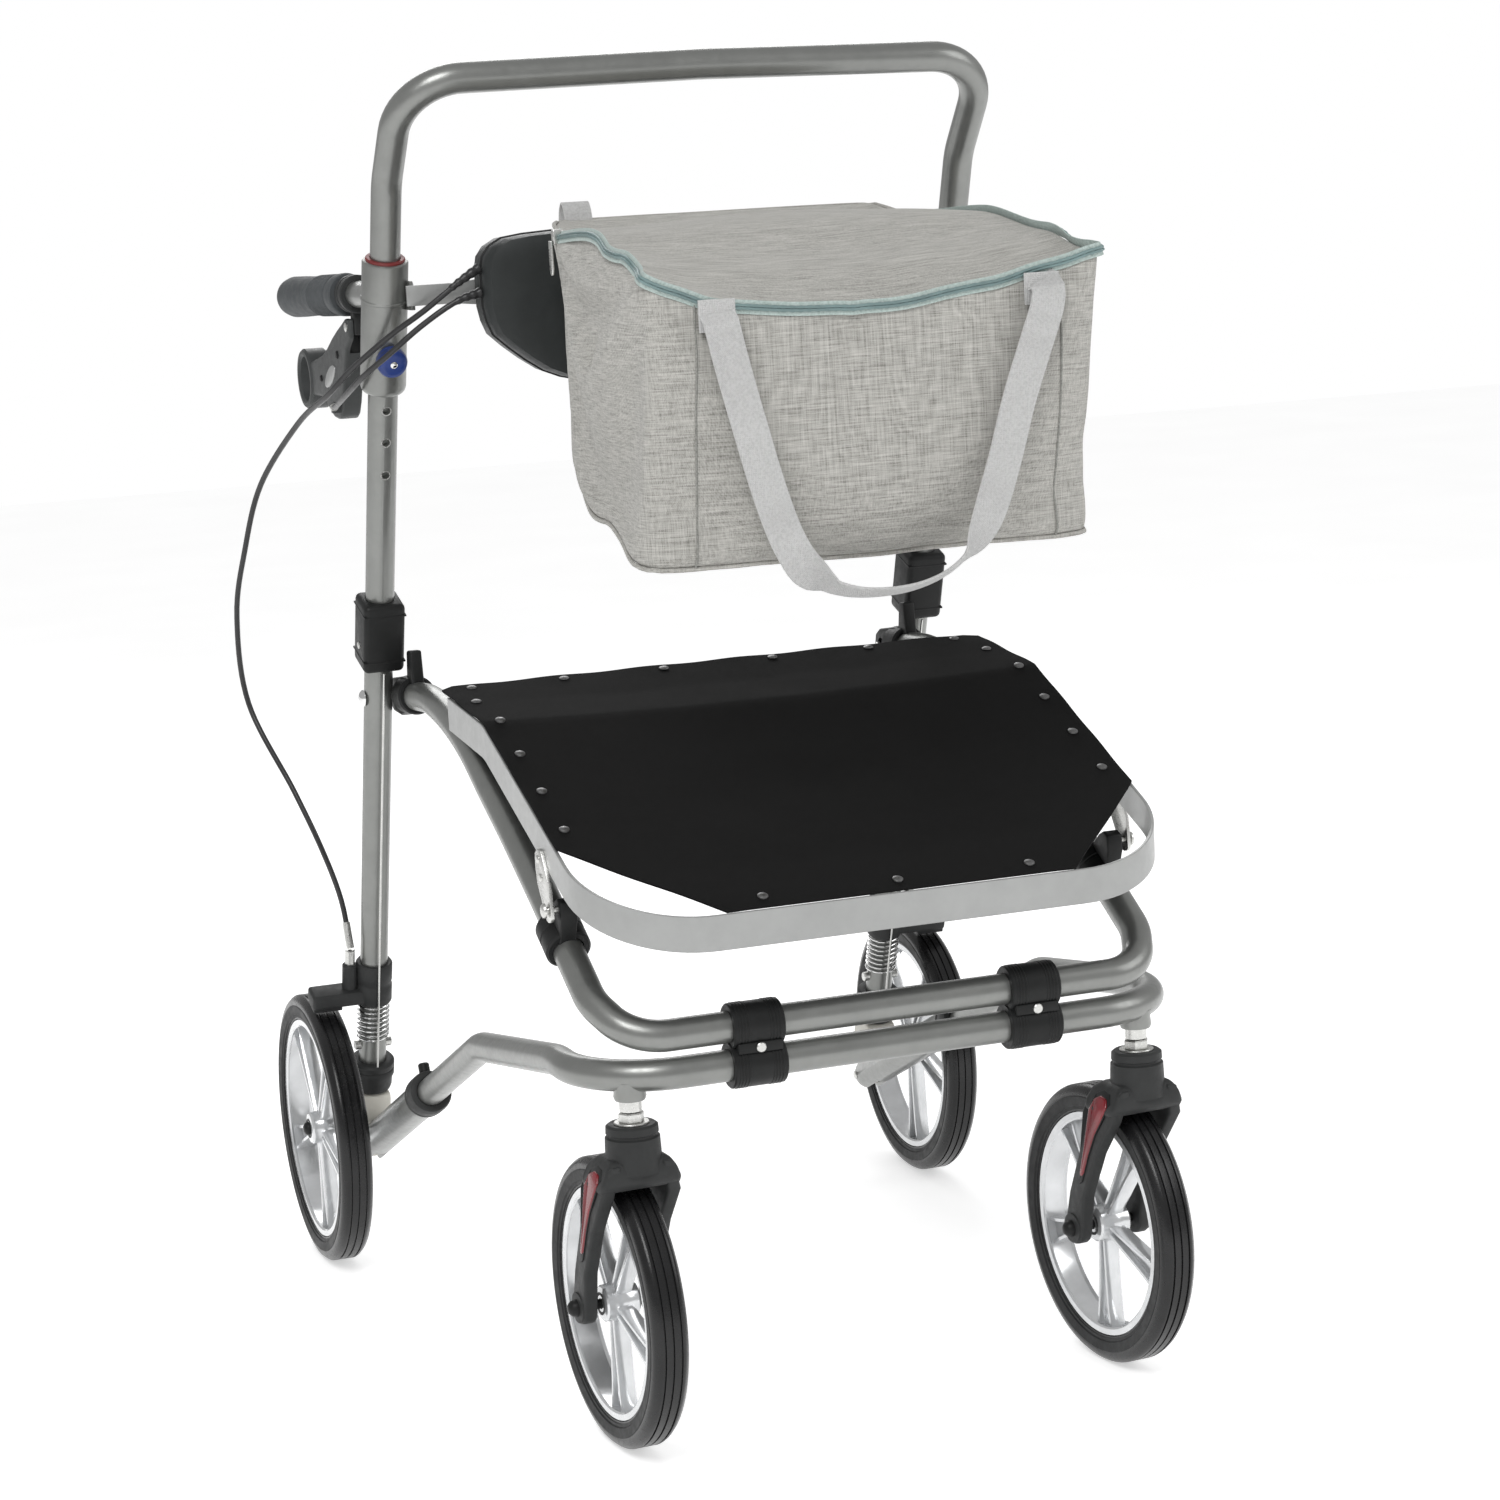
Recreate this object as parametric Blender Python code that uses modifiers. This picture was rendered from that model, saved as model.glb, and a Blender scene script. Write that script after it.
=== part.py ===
"""Folding rollator (wheeled walking frame) with a seat board, a backrest hoop, hand brakes and a bag.

Frame: +X to the right as seen from the front, +Y to the rear (where the user walks), +Z up, floor at Z = 0.
Lengths are written in millimetres and turned into metres by M.  "left" is the -X side, "right" the +X side.
"""

from math import atan, atan2, cos, pi, radians, sin

import bmesh
import bpy
from mathutils import Matrix, Vector

M = 0.001

# ---- driving dimensions (mm, degrees) -------------------------------------------------------------------
TUBE_R = 12.7                       # frame tubes, 25.4 mm outside
GAP = 0.3                           # air left between touching pieces

REAR_R, FRONT_R = 127.0, 118.5      # wheel radii
TYRE_W = 31.0
REAR_X, REAR_Y = 302.7, 315.0       # rear axle centre
KNUCKLE = (324.3, 100.0)            # (Y, Z) where strut and upright meet
UPRIGHT_X = 257.0
LEAN = atan(0.356)                  # uprights lean forward
HOOP_FOOT = 66.0                    # where the upright tube starts, along the upright
PIVOT = 478.7                       # seat frame bolt, along the upright

BAR_Y = -392.0                      # the two crossbars
UPPER_BAR_Z, LOWER_BAR_Z = 346.5, 316.0
LEG_X = 234.0                       # legs of the upper tube
CLIP_X = 117.5
STRUT_DIR = atan2(186.0, 426.0)     # strut rises towards the front
STRUT_R, STRUT_BORE = 16.0, 13.2
STRUT_MOUTH = 268.0                 # strut length from the knuckle
INNER_END = 212.0                   # how near the knuckle the sliding tube reaches

STEM_X, STEM_Y = 217.0, -379.0      # caster stems
TRAIL = 56.0
CASTER_YAW = {"left": radians(3.0), "right": radians(5.0)}
FORK_TOP = 278.0

SEAT_HINGE = (-303.0, 437.0)        # (Y, Z) of the seat's front hinge
SLEEVE = (770.0, 889.0)             # handle sleeve, along the upright
LEVER_PIVOT = (141.0, 877.0)        # (Y, Z) of the brake lever's pin

# centre line (Y, Z) of an upper leg, rear end first
LEG_LINE = [(136, 553), (100, 556), (60, 557), (3, 548), (-54, 530), (-107, 503), (-160, 477), (-222, 444),
            (-262, 422), (-303, 397)]

RIM_X, RIM_HEIGHT, RIM_THICK = 246.5, 28.0, 3.0
RIM_KINK_Y, RIM_KINK_Z = -139.0, 562.5          # top edge of the rim where it bends down to the front
RIM_REAR_Y, RIM_FRONT_Y = -37.0, -428.0
REAR_SLOPE, FRONT_SLOPE = 0.103, 0.411

# a sleeve's arm bends here towards the tip of its grip
ARM_BEND, GRIP_TIP = Vector((257.0, 128.0, 905.0)), Vector((276.0, 300.0, 900.0))
GRIP_START = ARM_BEND.lerp(GRIP_TIP, 0.134)

# routes of the +X side's cables, from the cover to the brake and to the lever
BRAKE_CABLE = [(188.6, -15, 925), (208, -17, 914), (236, -9, 893), (263, 8, 873), (288, 46, 846), (302, 79, 824),
               (312, 154, 797), (330, 240, 740), (340, 283, 679), (345, 318, 615), (337, 336, 532), (313, 284, 455),
               (296, 262, 401), (283, 257, 353), (280, 248.2, 309)]
LEVER_CABLE = [(188.6, -15, 905), (212, -16, 898), (240, -8, 880), (264, 2, 860), (282, 32, 840), (286, 80, 823),
               (280, 140, 811), (270, 192, 806)]

SIDES = {"left": -1, "right": 1}

# ---- collections and helpers ----------------------------------------------------------------------------
for old in list(bpy.data.objects):
    bpy.data.objects.remove(old, do_unlink=True)

PARTS = bpy.data.collections.new("rollator")
CUTTERS = bpy.data.collections.new("cutters")
for group in (PARTS, CUTTERS):
    bpy.context.scene.collection.children.link(group)


def material(name, colour, roughness, metallic=0.0):
    """One Principled material."""
    mat = bpy.data.materials.new(name)
    mat.use_nodes = True
    shader = mat.node_tree.nodes["Principled BSDF"]
    shader.inputs["Base Color"].default_value = (*colour, 1.0)
    shader.inputs["Roughness"].default_value = roughness
    shader.inputs["Metallic"].default_value = metallic
    mat.diffuse_color = (*colour, 1.0)
    return mat


FRAME_PAINT = material("frame_paint", (0.33, 0.34, 0.33), 0.38, 0.6)
SEAT_PAINT = material("seat_paint", (0.62, 0.62, 0.60), 0.42, 0.3)
DARK_PLASTIC = material("dark_plastic", (0.035, 0.037, 0.037), 0.5)
BLACK_PLASTIC = material("black_plastic", (0.012, 0.012, 0.013), 0.35)
WHITE_PLASTIC = material("white_plastic", (0.62, 0.61, 0.56), 0.45)
ZINC = material("zinc", (0.6, 0.6, 0.6), 0.3, 1.0)
TYRE_RUBBER = material("tyre_rubber", (0.012, 0.012, 0.012), 0.3)
HUB_PLASTIC = material("hub_plastic", (0.75, 0.76, 0.77), 0.12, 0.5)
BLUE_PLASTIC = material("blue_plastic", (0.012, 0.035, 0.2), 0.4)
GRIP_RUBBER = material("grip_rubber", (0.09, 0.1, 0.105), 0.7)
SEAT_CLOTH = material("seat_cloth", (0.012, 0.012, 0.012), 0.9)
BAG_CLOTH = material("bag_cloth", (0.42, 0.42, 0.39), 0.95)
CABLE_JACKET = material("cable_jacket", (0.015, 0.015, 0.015), 0.45)


def add(name, data, mat, group=PARTS):
    """Link an object holding data to a collection."""
    obj = bpy.data.objects.new(name, data)
    group.objects.link(obj)
    if mat is not None:
        data.materials.append(mat)
    if group is CUTTERS:
        obj.hide_render = True
        obj.display_type = "WIRE"
    return obj


def mesh_from(name, build):
    """A mesh filled by build(bm)."""
    mesh = bpy.data.meshes.new(name)
    bm = bmesh.new()
    build(bm)
    bmesh.ops.recalc_face_normals(bm, faces=bm.faces)
    bm.to_mesh(mesh)
    bm.free()
    return mesh


def block(name, size, mat, group=PARTS, bevel=0.0, segments=2):
    """A box centred on its origin, sizes in mm, with rounded edges."""
    def build(bm):
        bmesh.ops.create_cube(bm, size=1.0)
        bmesh.ops.scale(bm, vec=Vector(size) * M, verts=bm.verts)
    obj = add(name, mesh_from(name, build), mat, group)
    if bevel:
        rounding = obj.modifiers.new("rounding", "BEVEL")
        rounding.width = bevel * M
        rounding.segments = segments
        rounding.limit_method = "ANGLE"
    return obj


def rod(name, radius, length, mat, group=PARTS, sides=24, axis="Z", top_radius=None):
    """A cylinder or cone centred on its origin, lying along axis."""
    def build(bm):
        end = radius if top_radius is None else top_radius
        bmesh.ops.create_cone(bm, cap_ends=True, segments=sides, radius1=radius * M, radius2=end * M,
                              depth=length * M)
        turn = {"Z": Matrix.Identity(3), "X": Matrix.Rotation(pi / 2, 3, "Y"),
                "Y": Matrix.Rotation(-pi / 2, 3, "X")}[axis]
        bmesh.ops.rotate(bm, cent=(0, 0, 0), matrix=turn, verts=bm.verts)
    obj = add(name, mesh_from(name, build), mat, group)
    smooth(obj)
    return obj


def smooth(obj):
    """Smooth shading with sharp edges kept."""
    obj.data.shade_smooth()
    obj.data.set_sharp_from_angle(angle=radians(40))


def turned(name, profile, mat, group=PARTS, steps=40):
    """A closed (radius, height) profile spun about Z, listed down its outer side."""
    mesh = bpy.data.meshes.new(name)
    verts = [(r * M, 0.0, h * M) for r, h in profile]
    edges = [(i, (i + 1) % len(profile)) for i in range(len(profile))]
    mesh.from_pydata(verts, edges, [])
    obj = add(name, mesh, mat, group)
    spin = obj.modifiers.new("spin", "SCREW")
    spin.angle = 2 * pi
    spin.steps = steps
    spin.render_steps = steps
    spin.use_merge_vertices = True
    spin.merge_threshold = 0.00002
    spin.use_smooth_shade = True
    return obj


def ring_profile(inner, outer, low, high, round_off=0.0):
    """The section of a ring or tube from height low to high, its outer corners eased."""
    c = round_off
    if c:
        return [(inner, high), (outer - c, high), (outer, high - c), (outer, low + c), (outer - c, low),
                (inner, low)]
    return [(inner, high), (outer, high), (outer, low), (inner, low)]


def smooth_path(points, step):
    """Points every step mm or so along a Catmull-Rom curve through the given points."""
    pts = [Vector(p) for p in points]
    pts = [2 * pts[0] - pts[1]] + pts + [2 * pts[-1] - pts[-2]]
    out = []
    for a, b, c, d in zip(pts, pts[1:], pts[2:], pts[3:]):
        count = max(1, round((c - b).length / step))
        for i in range(count):
            t = i / count
            out.append(0.5 * (2 * b + (c - a) * t + (2 * a - 5 * b + 4 * c - d) * t ** 2
                              + (3 * b - a - 3 * c + d) * t ** 3))
    return out + [pts[-2]]


def bent_path(points, radii, steps=5):
    """Straight runs through points, joined by circular bends of the given radii at the inner points."""
    pts = [Vector(p) for p in points]
    out = [pts[0]]
    for before, at, after, radius in zip(pts, pts[1:], pts[2:], radii):
        into, away = (at - before).normalized(), (after - at).normalized()
        turn = into.angle(away)
        if turn < 0.01:
            continue
        side = (away - into * into.dot(away)).normalized()
        start = at - into * radius * (sin(turn / 2) / cos(turn / 2))
        for i in range(steps + 1):
            a = turn * i / steps
            out.append(start + into * radius * sin(a) + side * radius * (1 - cos(a)))
    return out + [pts[-1]]


def wire(name, points, radius, mat, sides_res=2, group=PARTS):
    """A round tube along points, its ends filled."""
    curve = bpy.data.curves.new(name, "CURVE")
    curve.dimensions = "3D"
    line = curve.splines.new("POLY")
    line.points.add(len(points) - 1)
    for spot, p in zip(line.points, points):
        spot.co = (*(Vector(p) * M), 1.0)
        spot.radius = 1.0
    curve.bevel_depth = radius * M
    curve.bevel_resolution = sides_res
    curve.use_fill_caps = True
    return add(name, curve, mat, group)


def to_mesh(obj):
    """Replace a curve object by the mesh of its evaluated shape, caps welded."""
    shape = obj.evaluated_get(bpy.context.evaluated_depsgraph_get())
    mesh = bpy.data.meshes.new_from_object(shape)
    bm = bmesh.new()
    bm.from_mesh(mesh)
    bmesh.ops.remove_doubles(bm, verts=bm.verts, dist=0.00001)
    bm.to_mesh(mesh)
    bm.free()
    name, group, place = obj.name, obj.users_collection[0], obj.matrix_world.copy()
    bpy.data.objects.remove(obj, do_unlink=True)
    solid = add(name, mesh, None, group)
    solid.matrix_world = place
    return solid


def outline(name, points, thickness, mat, group=PARTS):
    """A flat closed outline in the local XY plane, thickened evenly to both sides, as a mesh."""
    curve = bpy.data.curves.new(name, "CURVE")
    curve.dimensions = "2D"
    curve.fill_mode = "BOTH"
    line = curve.splines.new("POLY")
    line.points.add(len(points) - 1)
    for spot, (x, y) in zip(line.points, points):
        spot.co = (x * M, y * M, 0.0, 1.0)
    line.use_cyclic_u = True
    curve.extrude = thickness / 2 * M
    obj = add(name, curve, mat, group)
    bpy.context.view_layer.update()
    return to_mesh(obj)


def boolean(obj, tool, operation):
    """Join or cut obj with tool by a Boolean modifier."""
    mod = obj.modifiers.new(operation.lower(), "BOOLEAN")
    mod.operation = operation
    mod.object = tool
    mod.solver = "EXACT"


def place(obj, at=(0, 0, 0), rotation=None, parent=None):
    """Set an object's place in mm, its rotation as a matrix, and its parent."""
    turn = (rotation or Matrix.Identity(3)).to_4x4()
    obj.matrix_local = Matrix.Translation(Vector(at) * M) @ turn
    if parent is not None:
        obj.parent = parent
    return obj


def empty(name, at, rotation=None):
    """An empty that carries pieces, at a place in mm."""
    obj = bpy.data.objects.new(name, None)
    PARTS.objects.link(obj)
    return place(obj, at, rotation)


LEAN_TURN = Matrix.Rotation(LEAN, 3, "X")            # turns Z to the upright's own direction
STRUT_TURN = Matrix.Rotation(pi / 2 - STRUT_DIR, 3, "X")   # turns Z to the strut's direction
YZ_PLANE = Matrix(((0, 0, 1), (1, 0, 0), (0, 1, 0)))  # local X, Y drawn in the world's Y, Z


def on_upright(side, along, forward=0.0, inward=0.0):
    """A point beside an upright: along its length, forward of its axis and inward of it."""
    local = LEAN_TURN @ Vector((0.0, -forward, along))
    return Vector((side * (UPRIGHT_X - inward), KNUCKLE[0], KNUCKLE[1])) + local


def on_strut(side, along):
    """A point on a strut's axis, at a distance from the knuckle."""
    return Vector((side * UPRIGHT_X, KNUCKLE[0] - along * cos(STRUT_DIR), KNUCKLE[1] + along * sin(STRUT_DIR)))


# ---- front frame: lower tube, clips, caster stems -------------------------------------------------------
def half_to_loop(half):
    """Mirror the +X half of a path over X = 0 into one run from left to right."""
    left = [Vector((-p[0], p[1], p[2])) for p in half]
    return left + [Vector(p) for p in reversed(half)][1 if abs(half[-1][0]) < 0.01 else 0:]


def lower_frame():
    """The sliding legs, the bend, the rounded front corners and the lower crossbar, one bent tube."""
    bend = Vector((UPRIGHT_X, -102.0, 286.0))
    start = on_strut(1, INNER_END)
    half = bent_path([start, bend, (250.0, -300.0, LOWER_BAR_Z), (250.0, BAR_Y, LOWER_BAR_Z),
                      (0.0, BAR_Y, LOWER_BAR_Z)], [90.0, 120.0, 72.0], 4)
    return wire("lower_frame_tube", half_to_loop(half), TUBE_R, FRAME_PAINT, 3)


def crossbar_clip(word, side):
    """A moulded coupler: a ring round each crossbar and a web between them."""
    high, low, width = UPPER_BAR_Z, LOWER_BAR_Z, 44.0
    turn = Matrix.Rotation(pi / 2, 3, "Y")
    body = turned(f"crossbar_clip_{word}", ring_profile(8.0, 19.0, -width / 2, width / 2, 1.5), BLACK_PLASTIC,
                  steps=18)
    place(body, (side * CLIP_X, BAR_Y, low), turn)
    upper = turned(f"clip_upper_{word}", ring_profile(8.0, 19.0, -width / 2 + 2, width / 2 - 2, 1.5), None,
                   CUTTERS, 18)
    place(upper, (side * CLIP_X, BAR_Y, high), turn)
    web = block(f"clip_web_{word}", (width - 7, 34.0, high - low), None, CUTTERS)
    place(web, (side * CLIP_X, BAR_Y, (high + low) / 2))
    for tool in (upper, web):
        boolean(body, tool, "UNION")
    for level, z in (("high", high), ("low", low)):
        hole = rod(f"clip_hole_{level}_{word}", TUBE_R + GAP, width + 20, None, CUTTERS, 20, "X")
        place(hole, (side * CLIP_X, BAR_Y, z))
        boolean(body, hole, "DIFFERENCE")


def caster_stem(word, side):
    """The spigot under the front corner with its hexagon nut and the pin that the fork turns on."""
    tube_bottom = LOWER_BAR_Z - TUBE_R - GAP
    stem = turned(f"caster_stem_{word}",
                  [(0, tube_bottom), (9, tube_bottom), (9, FORK_TOP + 14), (6, FORK_TOP + 11),
                   (6, FORK_TOP - 22), (0, FORK_TOP - 22)], ZINC, steps=14)
    place(stem, (side * STEM_X, STEM_Y, 0))
    nut = rod(f"stem_nut_{word}", 10.5, 8.0, None, CUTTERS, 6)
    place(nut, (side * STEM_X, STEM_Y, FORK_TOP + 5.5))
    boolean(stem, nut, "UNION")


# ---- casters --------------------------------------------------------------------------------------------
def tyre(name, radius, parent, at):
    """A tyre turned about its axle, lying along the parent's X."""
    half, depth = TYRE_W / 2, 23.0
    profile = [(radius - depth, half - 3), (radius - 7, half), (radius, half - 8), (radius, 8 - half),
               (radius - 7, -half), (radius - depth, 3 - half)]
    place(turned(name, profile, TYRE_RUBBER, steps=32), at, Matrix.Rotation(pi / 2, 3, "Y"), parent)


def hub(name, radius, parent, at, bore):
    """A five-spoke hub: rim, spokes and boss."""
    rim_out = radius - 23.0 - GAP
    turn = Matrix.Rotation(pi / 2, 3, "Y")
    body = turned(name, [(rim_out - 6, 12), (rim_out, 12), (rim_out, -12), (rim_out - 6, -12)], HUB_PLASTIC,
                  steps=32)
    place(body, at, turn, parent)
    boss = turned(f"{name}_boss", ring_profile(bore, 15.0, -14.9, 14.9), None, CUTTERS, 14)
    place(boss, at, turn, parent)
    boolean(body, boss, "UNION")
    reach = rim_out - 4 - 12
    for i in range(5):
        spoke = block(f"{name}_spoke_{i}", (9.0, 17.0, reach), None, CUTTERS)
        spin = Matrix.Rotation(2 * pi * i / 5, 3, "X")
        place(spoke, Vector(at) + spin @ Vector((0, 0, 12 + reach / 2)), spin, parent)
        boolean(body, spoke, "UNION")


def fork(word, side):
    """A caster fork with its wheel and axle, all turned a little about the stem."""
    carrier = empty(f"caster_{word}", (side * STEM_X, STEM_Y, 0), Matrix.Rotation(CASTER_YAW[word], 3, "Z"))
    hub_z = FRONT_R
    crown_low = 240.0
    body = turned(f"caster_fork_{word}",
                  [(6 + GAP, FORK_TOP), (20.5, FORK_TOP), (21, FORK_TOP - 1), (21, FORK_TOP - 7),
                   (22, FORK_TOP - 9), (22, crown_low), (0, crown_low), (0, FORK_TOP - 26),
                   (6 + GAP, FORK_TOP - 26)], DARK_PLASTIC, steps=18)
    place(body, (0, 0, 0), None, carrier)
    crown = block(f"crown_{word}", (70.0, 46.0, 30.0), None, CUTTERS, 8.0, 1)
    place(crown, (0, 4, 240), None, carrier)
    boolean(body, crown, "UNION")
    leg_line = [(-19, 249), (27, 246), (34, 225), (41, 190), (60, 150)]
    leg_line += [(TRAIL + 14 * cos(a), hub_z + 14 * sin(a)) for a in (0.7, -0.3, -1.2, -2.2, -3.2)]
    leg_line += [(36, 150), (14, 190), (-12, 222)]
    for hand in (-1, 1):
        leg = outline(f"fork_leg_{word}_{hand}", leg_line, 12.0, None, CUTTERS)
        place(leg, (hand * 28.0, 0, 0), YZ_PLANE, carrier)
        boolean(body, leg, "UNION")
    room = rod(f"wheel_room_{word}", FRONT_R + 5.5, 2 * 20.0, None, CUTTERS, 36, "X")
    place(room, (0, TRAIL, hub_z), None, carrier)
    bore = rod(f"axle_bore_{word}", 4.0 + GAP, 90.0, None, CUTTERS, 16, "X")
    place(bore, (0, TRAIL, hub_z), None, carrier)
    for tool in (room, bore):
        boolean(body, tool, "DIFFERENCE")
    axle = turned(f"caster_axle_{word}",
                  [(0, 43), (5, 40), (6.5, 37), (6.5, 34 + GAP), (4, 34 + GAP), (4, -34 - GAP), (6.5, -34 - GAP),
                   (6.5, -37), (5, -40), (0, -43)], BLACK_PLASTIC, steps=12)
    place(axle, (0, TRAIL, hub_z), Matrix.Rotation(pi / 2, 3, "Y"), carrier)
    tyre(f"front_tyre_{word}", FRONT_R, carrier, (0, TRAIL, hub_z))
    hub(f"front_hub_{word}", FRONT_R, carrier, (0, TRAIL, hub_z), 4.0 + GAP)


# ---- upper frame and seat -------------------------------------------------------------------------------


def leg_path(side):
    """The centre line of an upper leg from its rear end to where the front corner begins."""
    return smooth_path([(side * LEG_X, y, z) for y, z in LEG_LINE], 60.0)


def upper_frame():
    """The seat carrier: two legs from the uprights down to the front, and the upper crossbar."""
    leg = leg_path(1)
    front = bent_path([leg[-1], (LEG_X, -350, 370), (LEG_X - 18, BAR_Y, UPPER_BAR_Z),
                       (0, BAR_Y, UPPER_BAR_Z)], [60.0, 42.0], 4)
    return wire("upper_frame_tube", half_to_loop(leg[:-1] + front), TUBE_R, FRAME_PAINT, 3)


def seat_hook(word, side):
    """The moulding on the rear end of an upper leg: bolt eye, socket and the hook that stands up from it."""
    y, z = on_upright(side, PIVOT).yz
    eye = outline(f"seat_hook_{word}", [(14, -10), (16, 0), (13, 10), (4, 15), (-30, 20), (-46, 20), (-46, -8),
                                        (-20, -16), (4, -15)], 17.0, BLACK_PLASTIC)
    place(eye, (side * (LEG_X + 0.4), y, z), YZ_PLANE)
    socket = rod(f"hook_socket_{word}", 17.0, 28.0, None, CUTTERS, 20, "Y")
    place(socket, (side * LEG_X, 128, 554.5), Matrix.Rotation(radians(-4), 3, "X"))
    finger = outline(f"hook_finger_{word}", [(-18, 14), (-38, 22), (-42, 44), (-54, 45), (-58, 10), (-30, 8)],
                     11.0, None, CUTTERS)
    place(finger, (side * LEG_X, y, z), YZ_PLANE)
    for tool in (socket, finger):
        boolean(eye, tool, "UNION")
    hole = rod(f"eye_hole_{word}", 7.2, 60.0, None, CUTTERS, 20, "X")
    place(hole, (side * LEG_X, y, z))
    room = wire(f"eye_room_{word}", leg_path(side)[:5], TUBE_R + GAP, None, 3, CUTTERS)
    bpy.context.view_layer.update()
    for tool in (hole, to_mesh(room)):
        boolean(eye, tool, "DIFFERENCE")


def pivot_bolt(word, side):
    """The dome-headed bolt through the upright and the seat frame's eye."""
    bolt = turned(f"pivot_bolt_{word}",
                  [(0, 4.5), (4, 4), (7, 1.5), (7.5, GAP), (3.5, GAP), (3.5, -48), (0, -48)], ZINC, steps=16)
    place(bolt, on_upright(side, PIVOT) + Vector((side * (TUBE_R + GAP), 0, 0)),
          Matrix.Rotation(side * pi / 2, 3, "Y"))


def seat_clamp(word, side):
    """The clamp on an upper leg, with the ear and the pin of the seat's front hinge."""
    y, z = SEAT_HINGE
    body = turned(f"seat_clamp_{word}", ring_profile(8.0, 18.5, -16, 16, 2.0), BLACK_PLASTIC, steps=16)
    place(body, (side * LEG_X, -284.0, 410.0), Matrix.Rotation(pi / 2 + atan(0.58), 3, "X"))
    ear = outline(f"clamp_ear_{word}", [(-300, 402), (-312, 430), (-311, 443), (-303, 446), (-294, 442),
                                        (-270, 422), (-276, 404)], 14.0, None, CUTTERS)
    place(ear, (side * (LEG_X + 2), 0, 0), YZ_PLANE)
    pin = rod(f"hinge_pin_{word}", 3.0, 22.0, None, CUTTERS, 14, "X")
    place(pin, (side * 245.0, y, z))
    head = rod(f"hinge_pin_head_{word}", 6.0, 3.0, None, CUTTERS, 14, "X")
    place(head, (side * 254.5, y, z))
    for tool in (ear, pin, head):
        boolean(body, tool, "UNION")
    room = wire(f"clamp_room_{word}", [*leg_path(side)[-4:], leg_path(side)[-1] + Vector((0, -40, -24))],
                TUBE_R + GAP, None, 3, CUTTERS)
    bpy.context.view_layer.update()
    boolean(body, to_mesh(room), "DIFFERENCE")


def rim_top(y):
    """Height of the rim's top edge at y."""
    return RIM_KINK_Z + (y - RIM_KINK_Y) * (REAR_SLOPE if y > RIM_KINK_Y else FRONT_SLOPE)


def seat_rim():
    """The flat-bar rim on edge, kinked in side view and rounded at the front, with its hinge plates."""
    mid = RIM_HEIGHT / 2
    line = [(RIM_X, y, rim_top(y) - mid) for y in (RIM_REAR_Y, RIM_KINK_Y, RIM_FRONT_Y)]
    half = bent_path([*line, (0.0, RIM_FRONT_Y, rim_top(RIM_FRONT_Y) - mid)], [60.0, 92.0], 7)
    path = half_to_loop(half)

    def build(bm):
        rows = []
        for i, p in enumerate(path):
            run = (path[min(i + 1, len(path) - 1)] - path[max(i - 1, 0)]).normalized()
            flat = Vector((run.y, -run.x, 0.0)).normalized() * RIM_THICK / 2
            up = Vector((0, 0, mid))
            rows.append([bm.verts.new(c * M) for c in (p - flat - up, p + flat - up, p + flat + up, p - flat + up)])
        for a, b in zip(rows, rows[1:]):
            for k in range(4):
                bm.faces.new((a[k], a[(k + 1) % 4], b[(k + 1) % 4], b[k]))
        bm.faces.new(rows[0])
        bm.faces.new(rows[-1])
    rim = add("seat_rim", mesh_from("seat_rim", build), SEAT_PAINT)
    y, z = SEAT_HINGE
    for word, side in SIDES.items():
        plate = outline(f"hinge_plate_{word}", [(-8, -6), (0, -10), (8, -6), (24, 18), (26, 42), (10, 46), (-6, 20)],
                        3.0, None, CUTTERS)
        place(plate, (side * 249.3, y, z), YZ_PLANE)
        boolean(rim, plate, "UNION")
        hole = rod(f"plate_hole_{word}", 3.0 + GAP, 20.0, None, CUTTERS, 14, "X")
        place(hole, (side * 250.0, y, z))
        boolean(rim, hole, "DIFFERENCE")


def seat_board():
    """The flexible seat board, riveted on top of the rim, its front corners cut off."""
    rows_at = [(-10.0, 236.0), (-18.0, 247.0), (RIM_KINK_Y, 247.0), (-325.0, 247.0), (-429.0, 146.0)]

    def build(bm):
        rows = []
        for y, half_width in rows_at:
            z = rim_top(y) + GAP + 1.5
            rows.append([bm.verts.new(Vector((x, y, z)) * M) for x in (-half_width, 0.0, half_width)])
        for a, b in zip(rows, rows[1:]):
            for k in (0, 1):
                bm.faces.new((a[k], a[k + 1], b[k + 1], b[k]))
    board = add("seat_board", mesh_from("seat_board", build), SEAT_CLOTH)
    skin = board.modifiers.new("skin", "SOLIDIFY")
    skin.thickness = 3.0 * M
    skin.offset = 0.0


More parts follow.
